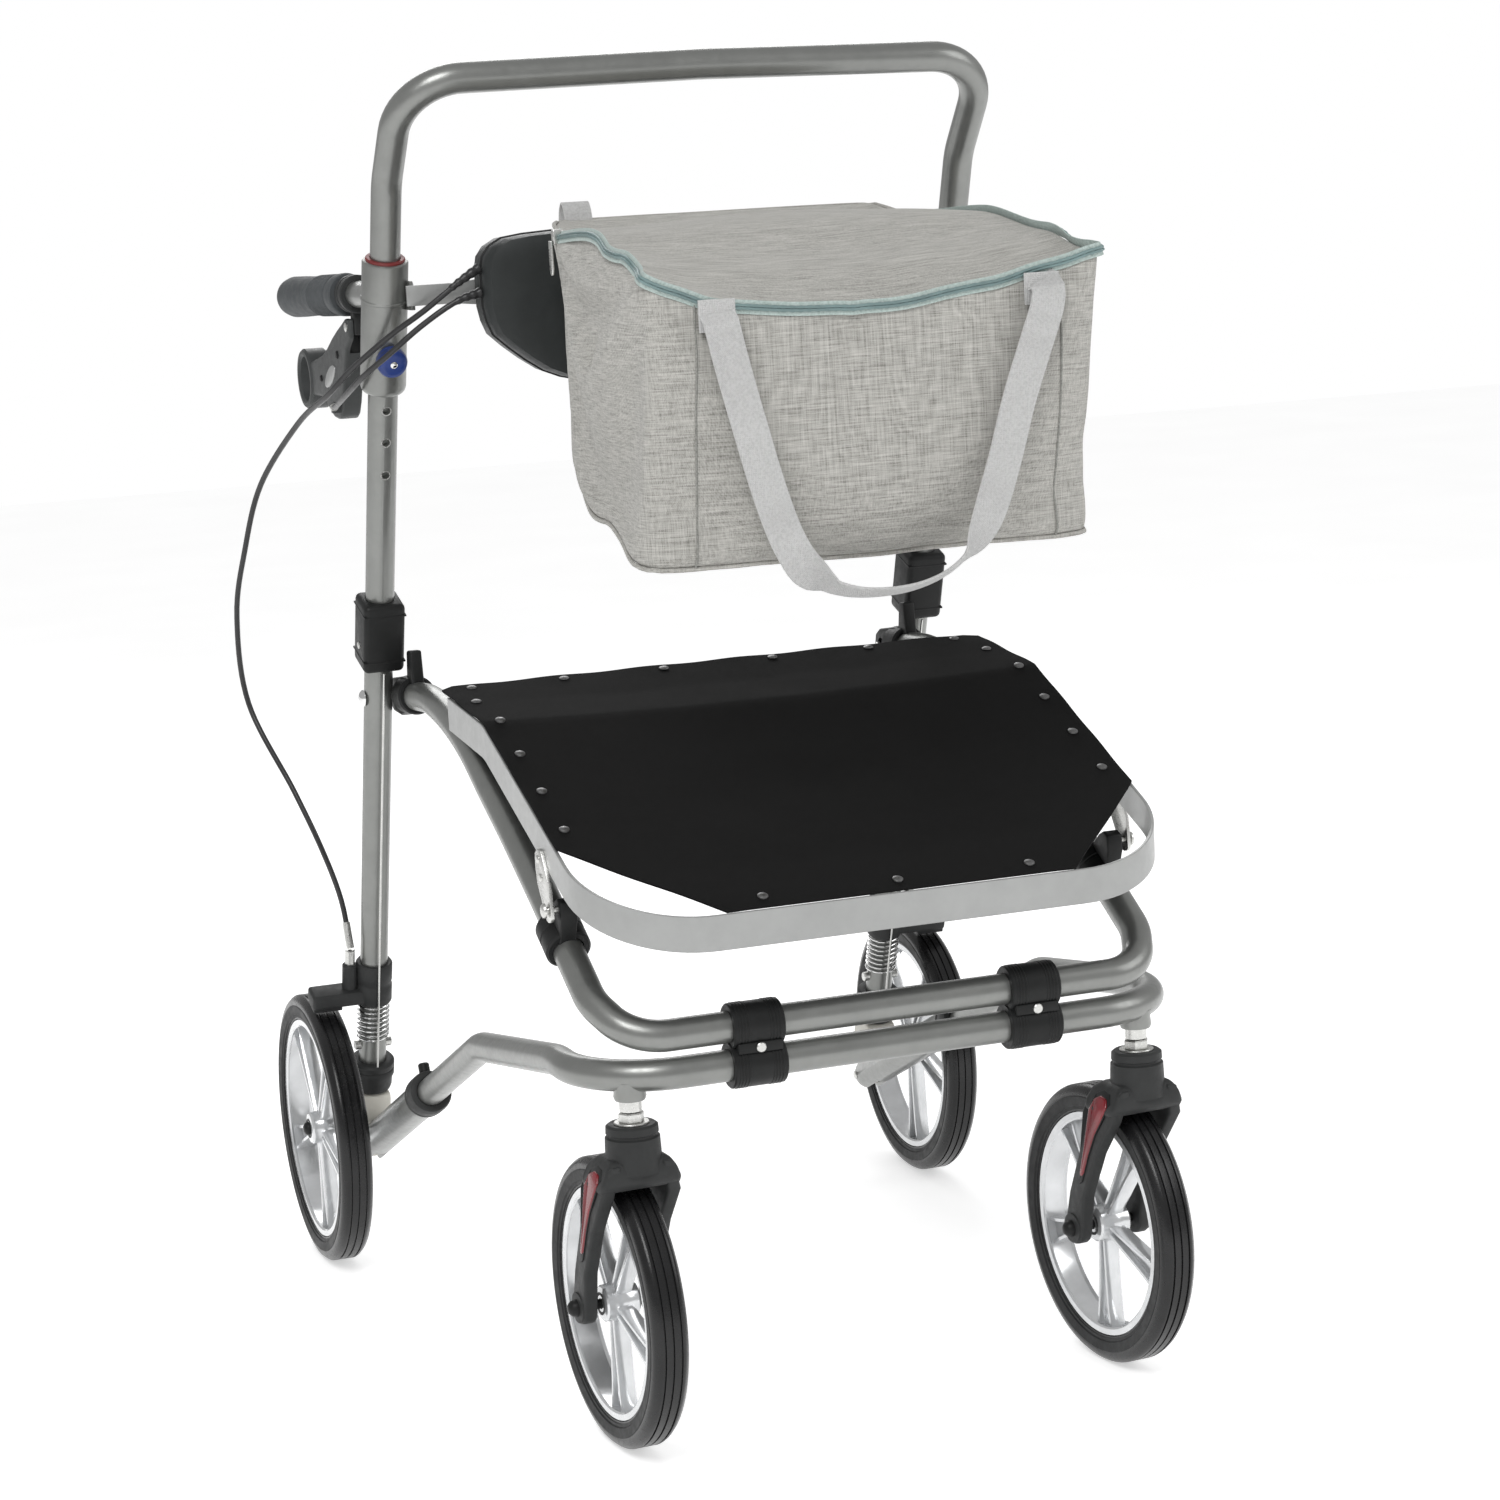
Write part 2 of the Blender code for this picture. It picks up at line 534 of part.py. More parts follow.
# ---- struts, knuckles and rear wheels -------------------------------------------------------------------
def strut(word, side):
    """The outer tube of a telescoping strut, slotted at the knuckle, and the locking collar at its mouth."""
    open_end = STRUT_MOUTH - 26
    tube = turned(f"strut_tube_{word}", [(0, open_end), (STRUT_R, open_end), (STRUT_R, 4), (14.5, -6), (9, -13),
                                         (0, -15)], FRAME_PAINT, steps=18)
    place(tube, on_strut(side, 0), STRUT_TURN)
    bore = rod(f"strut_bore_{word}", STRUT_BORE, STRUT_MOUTH, None, CUTTERS, 18)
    place(bore, on_strut(side, 38 + STRUT_MOUTH / 2), STRUT_TURN)
    slot = block(f"strut_slot_{word}", (13.0, 60.0, 76.0), None, CUTTERS)
    place(slot, on_strut(side, -2), STRUT_TURN)
    pin_hole = rod(f"strut_pin_hole_{word}", 4.0 + GAP, 60.0, None, CUTTERS, 16, "X")
    place(pin_hole, on_strut(side, 0))
    for tool in (bore, slot, pin_hole):
        boolean(tube, tool, "DIFFERENCE")
    collar = turned(f"strut_collar_{word}", ring_profile(STRUT_BORE, 19.5, open_end + GAP, STRUT_MOUTH, 2.0),
                    DARK_PLASTIC, steps=18)
    place(collar, on_strut(side, 0), STRUT_TURN)
    knob = rod(f"strut_knob_{word}", 5.0, 12.0, None, CUTTERS, 12, "Y")
    place(knob, on_strut(side, STRUT_MOUTH - 12) + STRUT_TURN @ Vector((0, 22, 0)), STRUT_TURN)
    boolean(collar, knob, "UNION")


def axle_block(word, side):
    """The moulded foot of an upright: its tongue turns in the strut, and the wheel's axle passes through."""
    foot = on_upright(side, 0)
    turn = LEAN_TURN @ YZ_PLANE
    body = outline(f"axle_block_{word}", [(-15, 65.7), (-17, 60), (-17, 39), (17, 8), (18, 58), (15, 65.7)], 29.0,
                   WHITE_PLASTIC)
    place(body, foot, turn)
    tongue = outline(f"tongue_{word}", [(-11, 4), (-8, -8), (0, -12), (8, -8), (12, 0), (12, 44), (-12, 44)], 11.4,
                     None, CUTTERS)
    place(tongue, foot, turn)
    pin = rod(f"knuckle_pin_{word}", 4.0, 34.0, None, CUTTERS, 16, "X")
    place(pin, foot)
    for tool in (tongue, pin):
        boolean(body, tool, "UNION")
    bore = rod(f"block_bore_{word}", 4.0 + GAP, 60.0, None, CUTTERS, 16, "X")
    place(bore, on_upright(side, 28.7))
    boolean(body, bore, "DIFFERENCE")


def rear_wheel(word, side):
    """The rear axle bolt, the hub and the tyre."""
    centre = on_upright(side, 28.7)
    inner = UPRIGHT_X - 14.5 - GAP
    outer = REAR_X + 15.0 + GAP
    axle = turned(f"rear_axle_{word}", [(0, outer + 5), (4, outer + 4), (6.5, outer + 1.5), (6.5, outer), (4, outer),
                                        (4, inner), (6.5, inner), (6.5, inner - 4), (0, inner - 5)],
                  BLACK_PLASTIC, steps=16)
    place(axle, (0, centre.y, centre.z), Matrix.Rotation(side * pi / 2, 3, "Y"))
    at = (side * REAR_X, centre.y, centre.z)
    tyre(f"rear_tyre_{word}", REAR_R, None, at)
    hub(f"rear_hub_{word}", REAR_R, None, at, 4.0 + GAP)


# ---- uprights, release, brakes --------------------------------------------------------------------------
def handle_hoop():
    """Both uprights and the hoop that joins them at the top, one bent tube with its holes and spring pins."""
    corner = Vector((UPRIGHT_X, -62.5, 1078.0))
    half = bent_path([on_upright(1, HOOP_FOOT), (UPRIGHT_X, 4.8, 997.5), corner, (0.0, -62.5, 1081.0)],
                     [60.0, 52.0], 4)
    tube = wire("handle_hoop", half_to_loop(half), TUBE_R, FRAME_PAINT, 3)
    bpy.context.view_layer.update()
    tube = to_mesh(tube)
    for word, side in SIDES.items():
        pins = rod(f"spring_pins_{word}", 4.5, 36.0, None, CUTTERS, 12, "X")
        place(pins, on_upright(side, 115.0))
        boolean(tube, pins, "UNION")
        bolt = rod(f"bolt_hole_{word}", 3.5 + GAP, 40.0, None, CUTTERS, 12, "X")
        place(bolt, on_upright(side, PIVOT))
        boolean(tube, bolt, "DIFFERENCE")
        for along in (697.0, 727.0, 756.0):
            hole = rod(f"height_hole_{along}_{word}", 3.4, 12.0, None, CUTTERS, 8, "Y")
            place(hole, on_upright(side, along, TUBE_R), LEAN_TURN)
            boolean(tube, hole, "DIFFERENCE")


def release(word, side):
    """The pull box on an upright, the bare wire below it and the lock collar that it lifts."""
    box = block(f"release_slider_{word}", (37.0, 37.0, 65.0), BLACK_PLASTIC, bevel=5.0)
    place(box, on_upright(side, 543.5, 1.5), LEAN_TURN)
    bore = rod(f"slider_bore_{word}", TUBE_R + GAP, 90.0, None, CUTTERS, 18)
    place(bore, on_upright(side, 541.5), LEAN_TURN)
    boolean(box, bore, "DIFFERENCE")
    wire(f"release_wire_{word}", [on_upright(side, 510.5, 18.5), on_upright(side, 99.4, 18.5)], 1.0, ZINC, 1)
    collar = turned(f"lock_collar_{word}", [(TUBE_R + GAP, 99), (19, 99), (20.5, 97), (20.5, 84), (18.5, 80),
                                            (18.5, 72), (16.5, 67.5), (TUBE_R + GAP, 67.5)], DARK_PLASTIC, steps=18)
    place(collar, on_upright(side, 0), LEAN_TURN)


def brake_shoe(word, side):
    """The brake's sliding carrier round the upright and the arm over the tyre."""
    body = turned(f"brake_shoe_{word}", ring_profile(8.0, 17.0, 163, 205, 2.0), DARK_PLASTIC, steps=18)
    place(body, on_upright(side, 0), LEAN_TURN)
    arm = block(f"brake_arm_{word}", (58.0, 24.0, 14.0), None, CUTTERS, 3.0)
    place(arm, on_upright(side, 172.0, 0, -31.0), LEAN_TURN)
    pad = block(f"brake_pad_{word}", (27.0, 20.0, 8.0), None, CUTTERS)
    place(pad, on_upright(side, 165.3, 0, -45.5), LEAN_TURN)
    anchor = rod(f"brake_anchor_{word}", 7.0, 34.0, None, CUTTERS, 14)
    place(anchor, on_upright(side, 188.0, 0, -23.0), LEAN_TURN)
    for tool in (arm, pad, anchor):
        boolean(body, tool, "UNION")
    bore = rod(f"shoe_bore_{word}", TUBE_R + GAP, 90.0, None, CUTTERS, 18)
    place(bore, on_upright(side, 185.0), LEAN_TURN)
    boolean(body, bore, "DIFFERENCE")


# ---- handle assembly ------------------------------------------------------------------------------------


def mirrored(p, side):
    """A point given for the +X side, moved to the wanted side."""
    return Vector((side * p[0], p[1], p[2]))


def handle_sleeve(word, side):
    """The sleeve on an upright with its arm for the grip, its lever ear and its strap tab."""
    low, high = SLEEVE
    body = turned(f"handle_sleeve_{word}", [(0, high), (18, high), (19.5, high - 2), (19.5, low + 6), (18, low + 2),
                                            (15.5, low), (0, low)], FRAME_PAINT, steps=20)
    place(body, on_upright(side, 0), LEAN_TURN)
    end = GRIP_START.lerp(GRIP_TIP, 0.9)
    arm = wire(f"grip_arm_{word}", [mirrored(p, side) for p in bent_path(
        [(257, 50, 905), ARM_BEND, end], [60.0], 2)], 11.5, None, 3, CUTTERS)
    bpy.context.view_layer.update()
    arm = to_mesh(arm)
    clamp = rod(f"lever_clamp_{word}", 16.5, 20.0, None, CUTTERS, 20, "Y")
    place(clamp, (side * 257.0, 136.0, 905.0))
    y, z = LEVER_PIVOT
    ear = block(f"lever_ear_{word}", (8.0, 12.0, 26.0), None, CUTTERS)
    place(ear, (side * 257.0, y - 2, z + 6))
    pin = rod(f"lever_pin_{word}", 4.0, 22.0, None, CUTTERS, 14, "X")
    place(pin, (side * 257.0, y, z))
    tab = block(f"strap_tab_{word}", (10.0, 22.0, 24.0), None, CUTTERS)
    place(tab, (side * 243.0, 20.5, 905.0))
    for tool in (arm, clamp, ear, pin, tab):
        boolean(body, tool, "UNION")
    bore = rod(f"sleeve_bore_{word}", TUBE_R + GAP, 160.0, None, CUTTERS, 18)
    place(bore, on_upright(side, (low + high) / 2), LEAN_TURN)
    hole = rod(f"knob_hole_{word}", 4.0 + GAP, 30.0, None, CUTTERS, 14, "Y")
    place(hole, on_upright(side, 806.0, 26.0), LEAN_TURN)
    for tool in (bore, hole):
        boolean(body, tool, "DIFFERENCE")


def height_knob(word, side):
    """The plunger that locks the handle's height: a round knob and its pin."""
    knob = turned(f"height_knob_{word}", [(0, 33), (9, 33), (12, 31), (13, 28), (13, 22), (11, 20.5), (4, 20.5),
                                          (4, 13.6), (0, 13.6)], BLUE_PLASTIC, steps=16)
    place(knob, on_upright(side, 806.0), LEAN_TURN @ Matrix.Rotation(pi / 2, 3, "X"))


def grip(word, side):
    """The rubber hand grip, its far end closed by a dome."""
    length = (GRIP_TIP - GRIP_START).length
    body = turned(f"grip_{word}", [(0, length), (9, length - 2), (15, length - 8), (18, length - 20), (17.5, 40),
                                   (18.5, 4), (17.5, 0), (0, 0)], GRIP_RUBBER, steps=18)
    a, b = mirrored(GRIP_START, side), mirrored(GRIP_TIP, side)
    turn = (b - a).to_track_quat("Z", "Y").to_matrix()
    place(body, a, turn)
    bore = rod(f"grip_bore_{word}", 11.5 + GAP, length, None, CUTTERS, 16)
    place(bore, a.lerp(b, 0.42), turn)
    boolean(body, bore, "DIFFERENCE")


def brake_lever(word, side):
    """The brake lever: a forked root on its pin, a blade and the hand loop."""
    blade = outline(f"brake_lever_{word}", [(133, 884), (149, 884), (160, 880), (200, 866), (240, 850), (288, 842),
                                            (288, 812), (246, 812), (222, 800), (200, 795), (184, 799), (168, 824),
                                            (150, 858), (134, 868)], 18.0, DARK_PLASTIC)
    place(blade, (side * 257.0, 0, 0), YZ_PLANE)
    loop = turned(f"lever_loop_{word}", [(0, 10.5), (25, 10.5), (27, 8.5), (27, -8.5), (25, -10.5), (0, -10.5)], None,
                  CUTTERS, 18)
    place(loop, (side * 257.0, 308, 826), Matrix.Rotation(pi / 2, 3, "Y"))
    boolean(blade, loop, "UNION")
    y, z = LEVER_PIVOT
    hole = rod(f"lever_hole_{word}", 4.0 + GAP, 40.0, None, CUTTERS, 14, "X")
    place(hole, (side * 257.0, y, z))
    opening = rod(f"loop_opening_{word}", 20.0, 60.0, None, CUTTERS, 16, "X")
    place(opening, (side * 257.0, 308, 826))
    slot = block(f"lever_slot_{word}", (9.6, 40.0, 46.0), None, CUTTERS)
    place(slot, (side * 257.0, y - 6, z))
    for tool in (hole, opening, slot):
        boolean(blade, tool, "DIFFERENCE")


def cross_strap():
    """The flat bar across the back, between the two sleeves."""
    bar = block("cross_strap", (2 * 246.0, 3.0, 22.0), SEAT_PAINT)
    place(bar, (0, 7.9, 905.0))


XZ_PLANE = Matrix(((1, 0, 0), (0, 0, -1), (0, 1, 0)))


def cable_cover():
    """The moulded cover in the middle of the bar, where the brake cables cross."""
    half = [(0, 952), (122, 952), (174, 947), (187, 930), (187, 891), (180, 870), (139, 837), (108, 828), (0, 826)]
    line = half + [(-x, z) for x, z in reversed(half[1:-1])]
    cover = outline("cable_cover", line, 38.0, BLACK_PLASTIC)
    place(cover, (0, -13.0, 0), XZ_PLANE)


def bag_shell(name, inset, mat, group):
    """The bag's outer or inner surface: a box that deepens and widens to the front."""
    rows_at = [(-62.0, 139.0, 150.0, 757.0, 966.0), (-250.0, 168.0, 176.0, 727.0, 968.0),
               (-425.0, 193.0, 192.0, 700.0, 927.0)]

    def build(bm):
        rows = []
        for i, (y, low_x, high_x, low, high) in enumerate(rows_at):
            ahead = {0: -inset, 1: 0.0, 2: inset}[i]
            shift = 15.0 if i == 2 else 0.0
            rows.append([bm.verts.new(Vector(p) * M) for p in (
                (-low_x + inset, y + ahead + shift, low + inset), (low_x - inset, y + ahead + shift, low + inset),
                (high_x - inset, y + ahead - shift, high - inset), (-high_x + inset, y + ahead - shift, high - inset))])
        for a, b in zip(rows, rows[1:]):
            for k in range(4):
                bm.faces.new((a[k], a[(k + 1) % 4], b[(k + 1) % 4], b[k]))
        bm.faces.new(rows[0])
        bm.faces.new(rows[-1])
    obj = add(name, mesh_from(name, build), mat, group)
    rounding = obj.modifiers.new("rounding", "BEVEL")
    rounding.width = (22.0 - inset) * M
    rounding.segments = 2
    rounding.limit_method = "ANGLE"
    rounding.angle_limit = radians(40)
    return obj


def bag():
    """The soft bag in front of the cover, with its zip left open by a finger's width."""
    shell = bag_shell("bag", 0.0, BAG_CLOTH, PARTS)
    inside = bag_shell("bag_inside", 3.0, None, CUTTERS)
    mouth = block("bag_mouth", (240.0, 8.0, 60.0), None, CUTTERS)
    place(mouth, (0, -360.0, 945.0))
    for tool in (inside, mouth):
        boolean(shell, tool, "DIFFERENCE")


def cables(word, side):
    """The long cable down to the brake and the short one to the lever."""
    brake = [mirrored(p, side) for p in smooth_path(BRAKE_CABLE, 60.0)]
    wire(f"brake_cable_{word}", brake, 2.5, CABLE_JACKET, 1)
    lever = [mirrored(p, side) for p in smooth_path(LEVER_CABLE, 30.0)]
    wire(f"lever_cable_{word}", lever, 2.5, CABLE_JACKET, 1)


lower_frame()
upper_frame()
seat_rim()
seat_board()
handle_hoop()
cross_strap()
cable_cover()
bag()
for word, side in SIDES.items():
    crossbar_clip(word, side)
    caster_stem(word, side)
    fork(word, side)
    seat_hook(word, side)
    pivot_bolt(word, side)
    seat_clamp(word, side)
    strut(word, side)
    axle_block(word, side)
    rear_wheel(word, side)
    release(word, side)
    brake_shoe(word, side)
    handle_sleeve(word, side)
    height_knob(word, side)
    grip(word, side)
    brake_lever(word, side)
    cables(word, side)
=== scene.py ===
"""Looks of a folding rollator: fine geometry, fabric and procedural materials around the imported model.

Frame as in the CAD: +X right seen from the front, +Y to the rear, +Z up.  Shapes are written in millimetres
and scaled by M.  "left" is the -X side.
"""
from math import atan, atan2, cos, exp, pi, radians, sin

import bmesh
import bpy
from mathutils import Matrix, Vector, noise


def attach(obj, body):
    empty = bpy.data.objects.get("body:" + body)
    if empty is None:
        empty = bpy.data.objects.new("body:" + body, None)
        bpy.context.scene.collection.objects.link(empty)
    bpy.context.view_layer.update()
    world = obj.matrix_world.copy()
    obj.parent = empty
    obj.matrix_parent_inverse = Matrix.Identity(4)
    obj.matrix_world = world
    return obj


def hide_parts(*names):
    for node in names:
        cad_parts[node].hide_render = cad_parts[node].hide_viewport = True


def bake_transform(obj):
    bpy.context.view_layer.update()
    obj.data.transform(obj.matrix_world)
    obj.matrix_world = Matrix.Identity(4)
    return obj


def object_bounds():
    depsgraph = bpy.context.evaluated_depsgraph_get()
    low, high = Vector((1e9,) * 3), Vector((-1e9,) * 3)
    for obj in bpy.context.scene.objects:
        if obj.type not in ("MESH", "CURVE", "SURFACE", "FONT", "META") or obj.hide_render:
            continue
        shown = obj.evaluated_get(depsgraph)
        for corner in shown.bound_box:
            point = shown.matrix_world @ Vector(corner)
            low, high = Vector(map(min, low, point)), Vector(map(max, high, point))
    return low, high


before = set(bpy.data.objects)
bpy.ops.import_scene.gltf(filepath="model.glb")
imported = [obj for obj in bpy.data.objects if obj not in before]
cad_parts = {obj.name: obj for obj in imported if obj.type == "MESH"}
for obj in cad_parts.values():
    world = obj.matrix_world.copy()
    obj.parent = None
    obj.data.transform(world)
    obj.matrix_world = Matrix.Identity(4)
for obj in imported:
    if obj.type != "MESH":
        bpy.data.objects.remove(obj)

CAD_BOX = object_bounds()
M = 0.001
SIDES = {"left": -1, "right": 1}


# ---- camera ----
CAMERA_AT = (-1.06356, -3.07209, 1.01923)
YAW, PITCH, ROLL = radians(20.378), radians(12.294), radians(-2.974)
forward = Vector((sin(YAW) * cos(PITCH), cos(YAW) * cos(PITCH), -sin(PITCH)))
level = Vector((cos(YAW), -sin(YAW), 0.0))
upward = level.cross(forward)
cam_x = cos(ROLL) * level + sin(ROLL) * upward
cam_y = -sin(ROLL) * level + cos(ROLL) * upward
lens = bpy.data.cameras.new("camera")
lens.lens, lens.sensor_width = 90.06, 36.0
lens.shift_x, lens.shift_y = -0.0392, 0.1357
camera = bpy.data.objects.new("camera", lens)
bpy.context.scene.collection.objects.link(camera)
camera.matrix_world = Matrix.Translation(CAMERA_AT) @ Matrix((cam_x, cam_y, -forward)).transposed().to_4x4()
bpy.context.scene.camera = camera


# ---- node materials ----
class Nodes:
    """A Principled material being wired."""

    def __init__(self, name, rough=0.5, metal=0.0, **sockets):
        self.mat = bpy.data.materials.new(name)
        self.mat.use_nodes = True
        self.tree = self.mat.node_tree
        self.shader = self.tree.nodes["Principled BSDF"]
        self.shader.inputs["Roughness"].default_value = rough
        self.shader.inputs["Metallic"].default_value = metal
        for key, value in sockets.items():
            self.shader.inputs[key.replace("_", " ")].default_value = value
        self.where = self.node("ShaderNodeTexCoord").outputs["Object"]

    def node(self, kind, **settings):
        n = self.tree.nodes.new(kind)
        for key, value in settings.items():
            setattr(n, key, value)
        return n

    def link(self, a, b):
        self.tree.links.new(a, b)

    def made(self, kind, out, feed, into, values, **settings):
        """One output of a node whose inputs are set from values, apart from one that is fed by a link."""
        n = self.node(kind, **settings)
        for key, value in values.items():
            n.inputs[key].default_value = value
        self.link(feed, n.inputs[into])
        return n.outputs[out]

    def stretched(self, scale):
        return self.made("ShaderNodeMapping", "Vector", self.where, "Vector", {"Scale": scale})

    def noise(self, scale, detail=3.0, rough=0.5, vector=None):
        values = {"Scale": scale, "Detail": detail, "Roughness": rough}
        return self.made("ShaderNodeTexNoise", "Fac", vector or self.where, "Vector", values)

    def wave(self, scale, axis):
        values = {"Scale": scale, "Distortion": 0.15, "Detail": 1.0}
        return self.made("ShaderNodeTexWave", "Fac", self.where, "Vector", values, wave_type="BANDS",
            bands_direction=axis, wave_profile="SIN")

    def spread(self, value, low, high):
        values = {"From Min": 0.3, "From Max": 0.7, "To Min": low, "To Max": high}
        return self.made("ShaderNodeMapRange", "Result", value, "Value", values)

    def maths(self, operation, a, b):
        n = self.node("ShaderNodeMath", operation=operation)
        for spot, value in zip(n.inputs, (a, b)):
            if isinstance(value, float):
                spot.default_value = value
            else:
                self.link(value, spot)
        return n.outputs["Value"]

    def ramp(self, value, stops):
        n = self.node("ShaderNodeValToRGB")
        n.color_ramp.elements[0].position, n.color_ramp.elements[1].position = stops[0][0], stops[-1][0]
        n.color_ramp.elements[0].color = (*stops[0][1], 1.0)
        n.color_ramp.elements[1].color = (*stops[-1][1], 1.0)
        for at, colour in stops[1:-1]:
            n.color_ramp.elements.new(at).color = (*colour, 1.0)
        self.link(value, n.inputs["Fac"])
        return n.outputs["Color"]

    def colour(self, value):
        self.link(value, self.shader.inputs["Base Color"])

    def rough(self, value):
        self.link(value, self.shader.inputs["Roughness"])

    def bump(self, value, depth, strength=1.0):
        n = self.node("ShaderNodeBump")
        n.inputs["Distance"].default_value = depth
        n.inputs["Strength"].default_value = strength
        self.link(value, n.inputs["Height"])
        before = self.shader.inputs["Normal"].links
        if before:
            self.link(before[0].from_socket, n.inputs["Normal"])
        self.link(n.outputs["Normal"], self.shader.inputs["Normal"])


def tint(colour, by):
    return tuple(min(1.0, c * by) for c in colour)


def finish(name, colour, rough, metal=0.0, grain=2600.0, depth=0.00004, patch=0.12, **sockets):
    """Paint or moulding: slow colour patches, uneven gloss, and a fine surface grain."""
    m = Nodes(name, rough, metal, **sockets)
    slow = m.noise(34.0, 4.0, 0.6)
    m.colour(m.ramp(slow, [(0.3, tint(colour, 1 - patch)), (0.7, tint(colour, 1 + patch))]))
    m.rough(m.spread(m.noise(140.0, 5.0, 0.65), rough * 0.82, rough * 1.22))
    m.bump(m.noise(grain, 2.0, 0.5), depth)
    return m.mat


def brushed(name, colour, rough):
    """Plated metal with a drawn grain and small scuffs."""
    m = Nodes(name, rough, 1.0)
    lines = m.noise(900.0, 3.0, 0.6, m.stretched((1.0, 0.15, 1.0)))
    m.colour(m.ramp(m.noise(60.0, 4.0), [(0.3, tint(colour, 0.88)), (0.7, tint(colour, 1.05))]))
    m.rough(m.spread(lines, rough * 0.7, rough * 1.5))
    m.bump(lines, 0.00002)
    return m.mat


def woven(name, dark, light, pitch, depth, sheen=0.3, streak=0.0, rough=0.9):
    """Plain weave along all three directions of the object, its threads uneven in tone; no UVs needed."""
    m = Nodes(name, rough, 0.0, Sheen_Weight=sheen, Sheen_Roughness=0.5)
    across, up, along = (m.wave(1.0 / pitch / 2.0, axis) for axis in ("X", "Z", "Y"))
    first = m.maths("MULTIPLY", across, m.maths("MAXIMUM", up, along))
    weave = m.maths("MAXIMUM", first, m.maths("MULTIPLY", m.maths("SUBTRACT", 1.0, across),
        m.maths("SUBTRACT", 1.0, up)))
    tone = m.noise(520.0, 3.0, 0.6)
    if streak:
        upright = m.noise(1.0, 4.0, 0.75, m.stretched((34.0, 46.0, 900.0)))
        lying = m.noise(1.0, 4.0, 0.75, m.stretched((34.0, 900.0, 46.0)))
        parts = m.node("ShaderNodeSeparateXYZ")
        m.link(m.node("ShaderNodeNewGeometry").outputs["Normal"], parts.inputs["Vector"])
        facing_up = m.maths("GREATER_THAN", m.maths("ABSOLUTE", parts.outputs["Z"], 0.0), 0.62)
        flat = m.maths("ADD", m.maths("MULTIPLY", lying, facing_up),
            m.maths("MULTIPLY", upright, m.maths("SUBTRACT", 1.0, facing_up)))
        tall = m.noise(1.0, 4.0, 0.75, m.stretched((900.0, 900.0, 26.0)))
        tone = m.maths("ADD", m.maths("MULTIPLY", flat, 0.56), m.maths("MULTIPLY", tall, 0.44))
    mix = m.maths("ADD", m.maths("MULTIPLY", tone, 0.86), m.maths("MULTIPLY", weave, 0.14))
    m.colour(m.ramp(mix, [(0.36, dark), (0.47, tuple((a + b) / 2 for a, b in zip(dark, light))),
        (0.62, light)]))
    m.rough(m.spread(tone, rough * 0.92, min(1.0, rough * 1.08)))
    m.bump(weave, depth)
    m.bump(m.noise(38.0, 3.0, 0.5), 0.0007, 0.5)
    return m.mat


MATT = {"Specular_IOR_Level": 0.22}
FRAME_PAINT = finish("frame_paint", (0.235, 0.24, 0.23), 0.34, 0.72, 3200.0, 0.00003, 0.06,
    Coat_Weight=0.35, Coat_Roughness=0.16)
SEAT_PAINT = finish("seat_paint", (0.36, 0.365, 0.36), 0.36, 0.5, 3200.0, 0.00003, 0.05, Coat_Weight=0.25,
    Coat_Roughness=0.2)
DARK_PLASTIC = finish("dark_plastic", (0.03, 0.031, 0.031), 0.5, 0.0, 2200.0, 0.00008, 0.14, **MATT)
LEVER_PLASTIC = finish("lever_plastic", (0.055, 0.058, 0.058), 0.42, 0.0, 2200.0, 0.00006, 0.1, **MATT)
BLACK_PLASTIC = finish("black_plastic", (0.012, 0.0125, 0.0125), 0.42, 0.0, 1900.0, 0.00008, 0.2, **MATT)
COVER_PLASTIC = finish("cover_plastic", (0.03, 0.033, 0.033), 0.4, 0.0, 2600.0, 0.00007, 0.12, **MATT)
WHITE_PLASTIC = finish("white_plastic", (0.62, 0.6, 0.54), 0.4, 0.0, 1500.0, 0.00005, 0.06)
BLUE_PLASTIC = finish("blue_plastic", (0.014, 0.04, 0.2), 0.34, 0.0, 1800.0, 0.00005, 0.15)
RED_PLASTIC = finish("red_plastic", (0.16, 0.016, 0.016), 0.4, 0.0, 1800.0, 0.00005, 0.15)
GRIP_RUBBER = finish("grip_rubber", (0.06, 0.066, 0.07), 0.66, 0.0, 1400.0, 0.00016, 0.12)
TYRE_RUBBER = finish("tyre_rubber", (0.009, 0.009, 0.0095), 0.25, 0.0, 1300.0, 0.00008, 0.3,
    Specular_IOR_Level=0.4)
TYRE_SIDE = finish("tyre_side", (0.022, 0.0225, 0.023), 0.5, 0.0, 900.0, 0.00012, 0.18, **MATT)
HUB_PLASTIC = finish("hub_plastic", (0.66, 0.67, 0.68), 0.17, 0.62, 900.0, 0.00002, 0.1, Coat_Weight=0.5,
    Coat_Roughness=0.06)
CABLE_JACKET = finish("cable_jacket", (0.02, 0.02, 0.021), 0.36, 0.0, 1500.0, 0.00005, 0.25)
REFLECTOR = finish("reflector", (0.17, 0.004, 0.01), 0.18, 0.0, 700.0, 0.00012, 0.35, Coat_Weight=0.3,
    Coat_Roughness=0.04)
ZINC = brushed("zinc", (0.66, 0.66, 0.64), 0.3)
CHROME = brushed("chrome", (0.8, 0.8, 0.8), 0.12)
RIVET = brushed("rivet", (0.2, 0.2, 0.2), 0.35)
SEAT_CLOTH = woven("seat_cloth", (0.003, 0.003, 0.003), (0.0075, 0.0075, 0.0075), 0.0011, 0.00012, 0.0,
    rough=0.85)
SEAT_CLOTH.node_tree.nodes["Principled BSDF"].inputs["Specular IOR Level"].default_value = 0.12
BAG_CLOTH = woven("bag_cloth", (0.13, 0.125, 0.11), (0.58, 0.57, 0.535), 0.0009, 0.00016, 0.15, 1.0)
WEBBING = woven("webbing", (0.47, 0.47, 0.465), (0.58, 0.58, 0.575), 0.0022, 0.0005, 0.1)
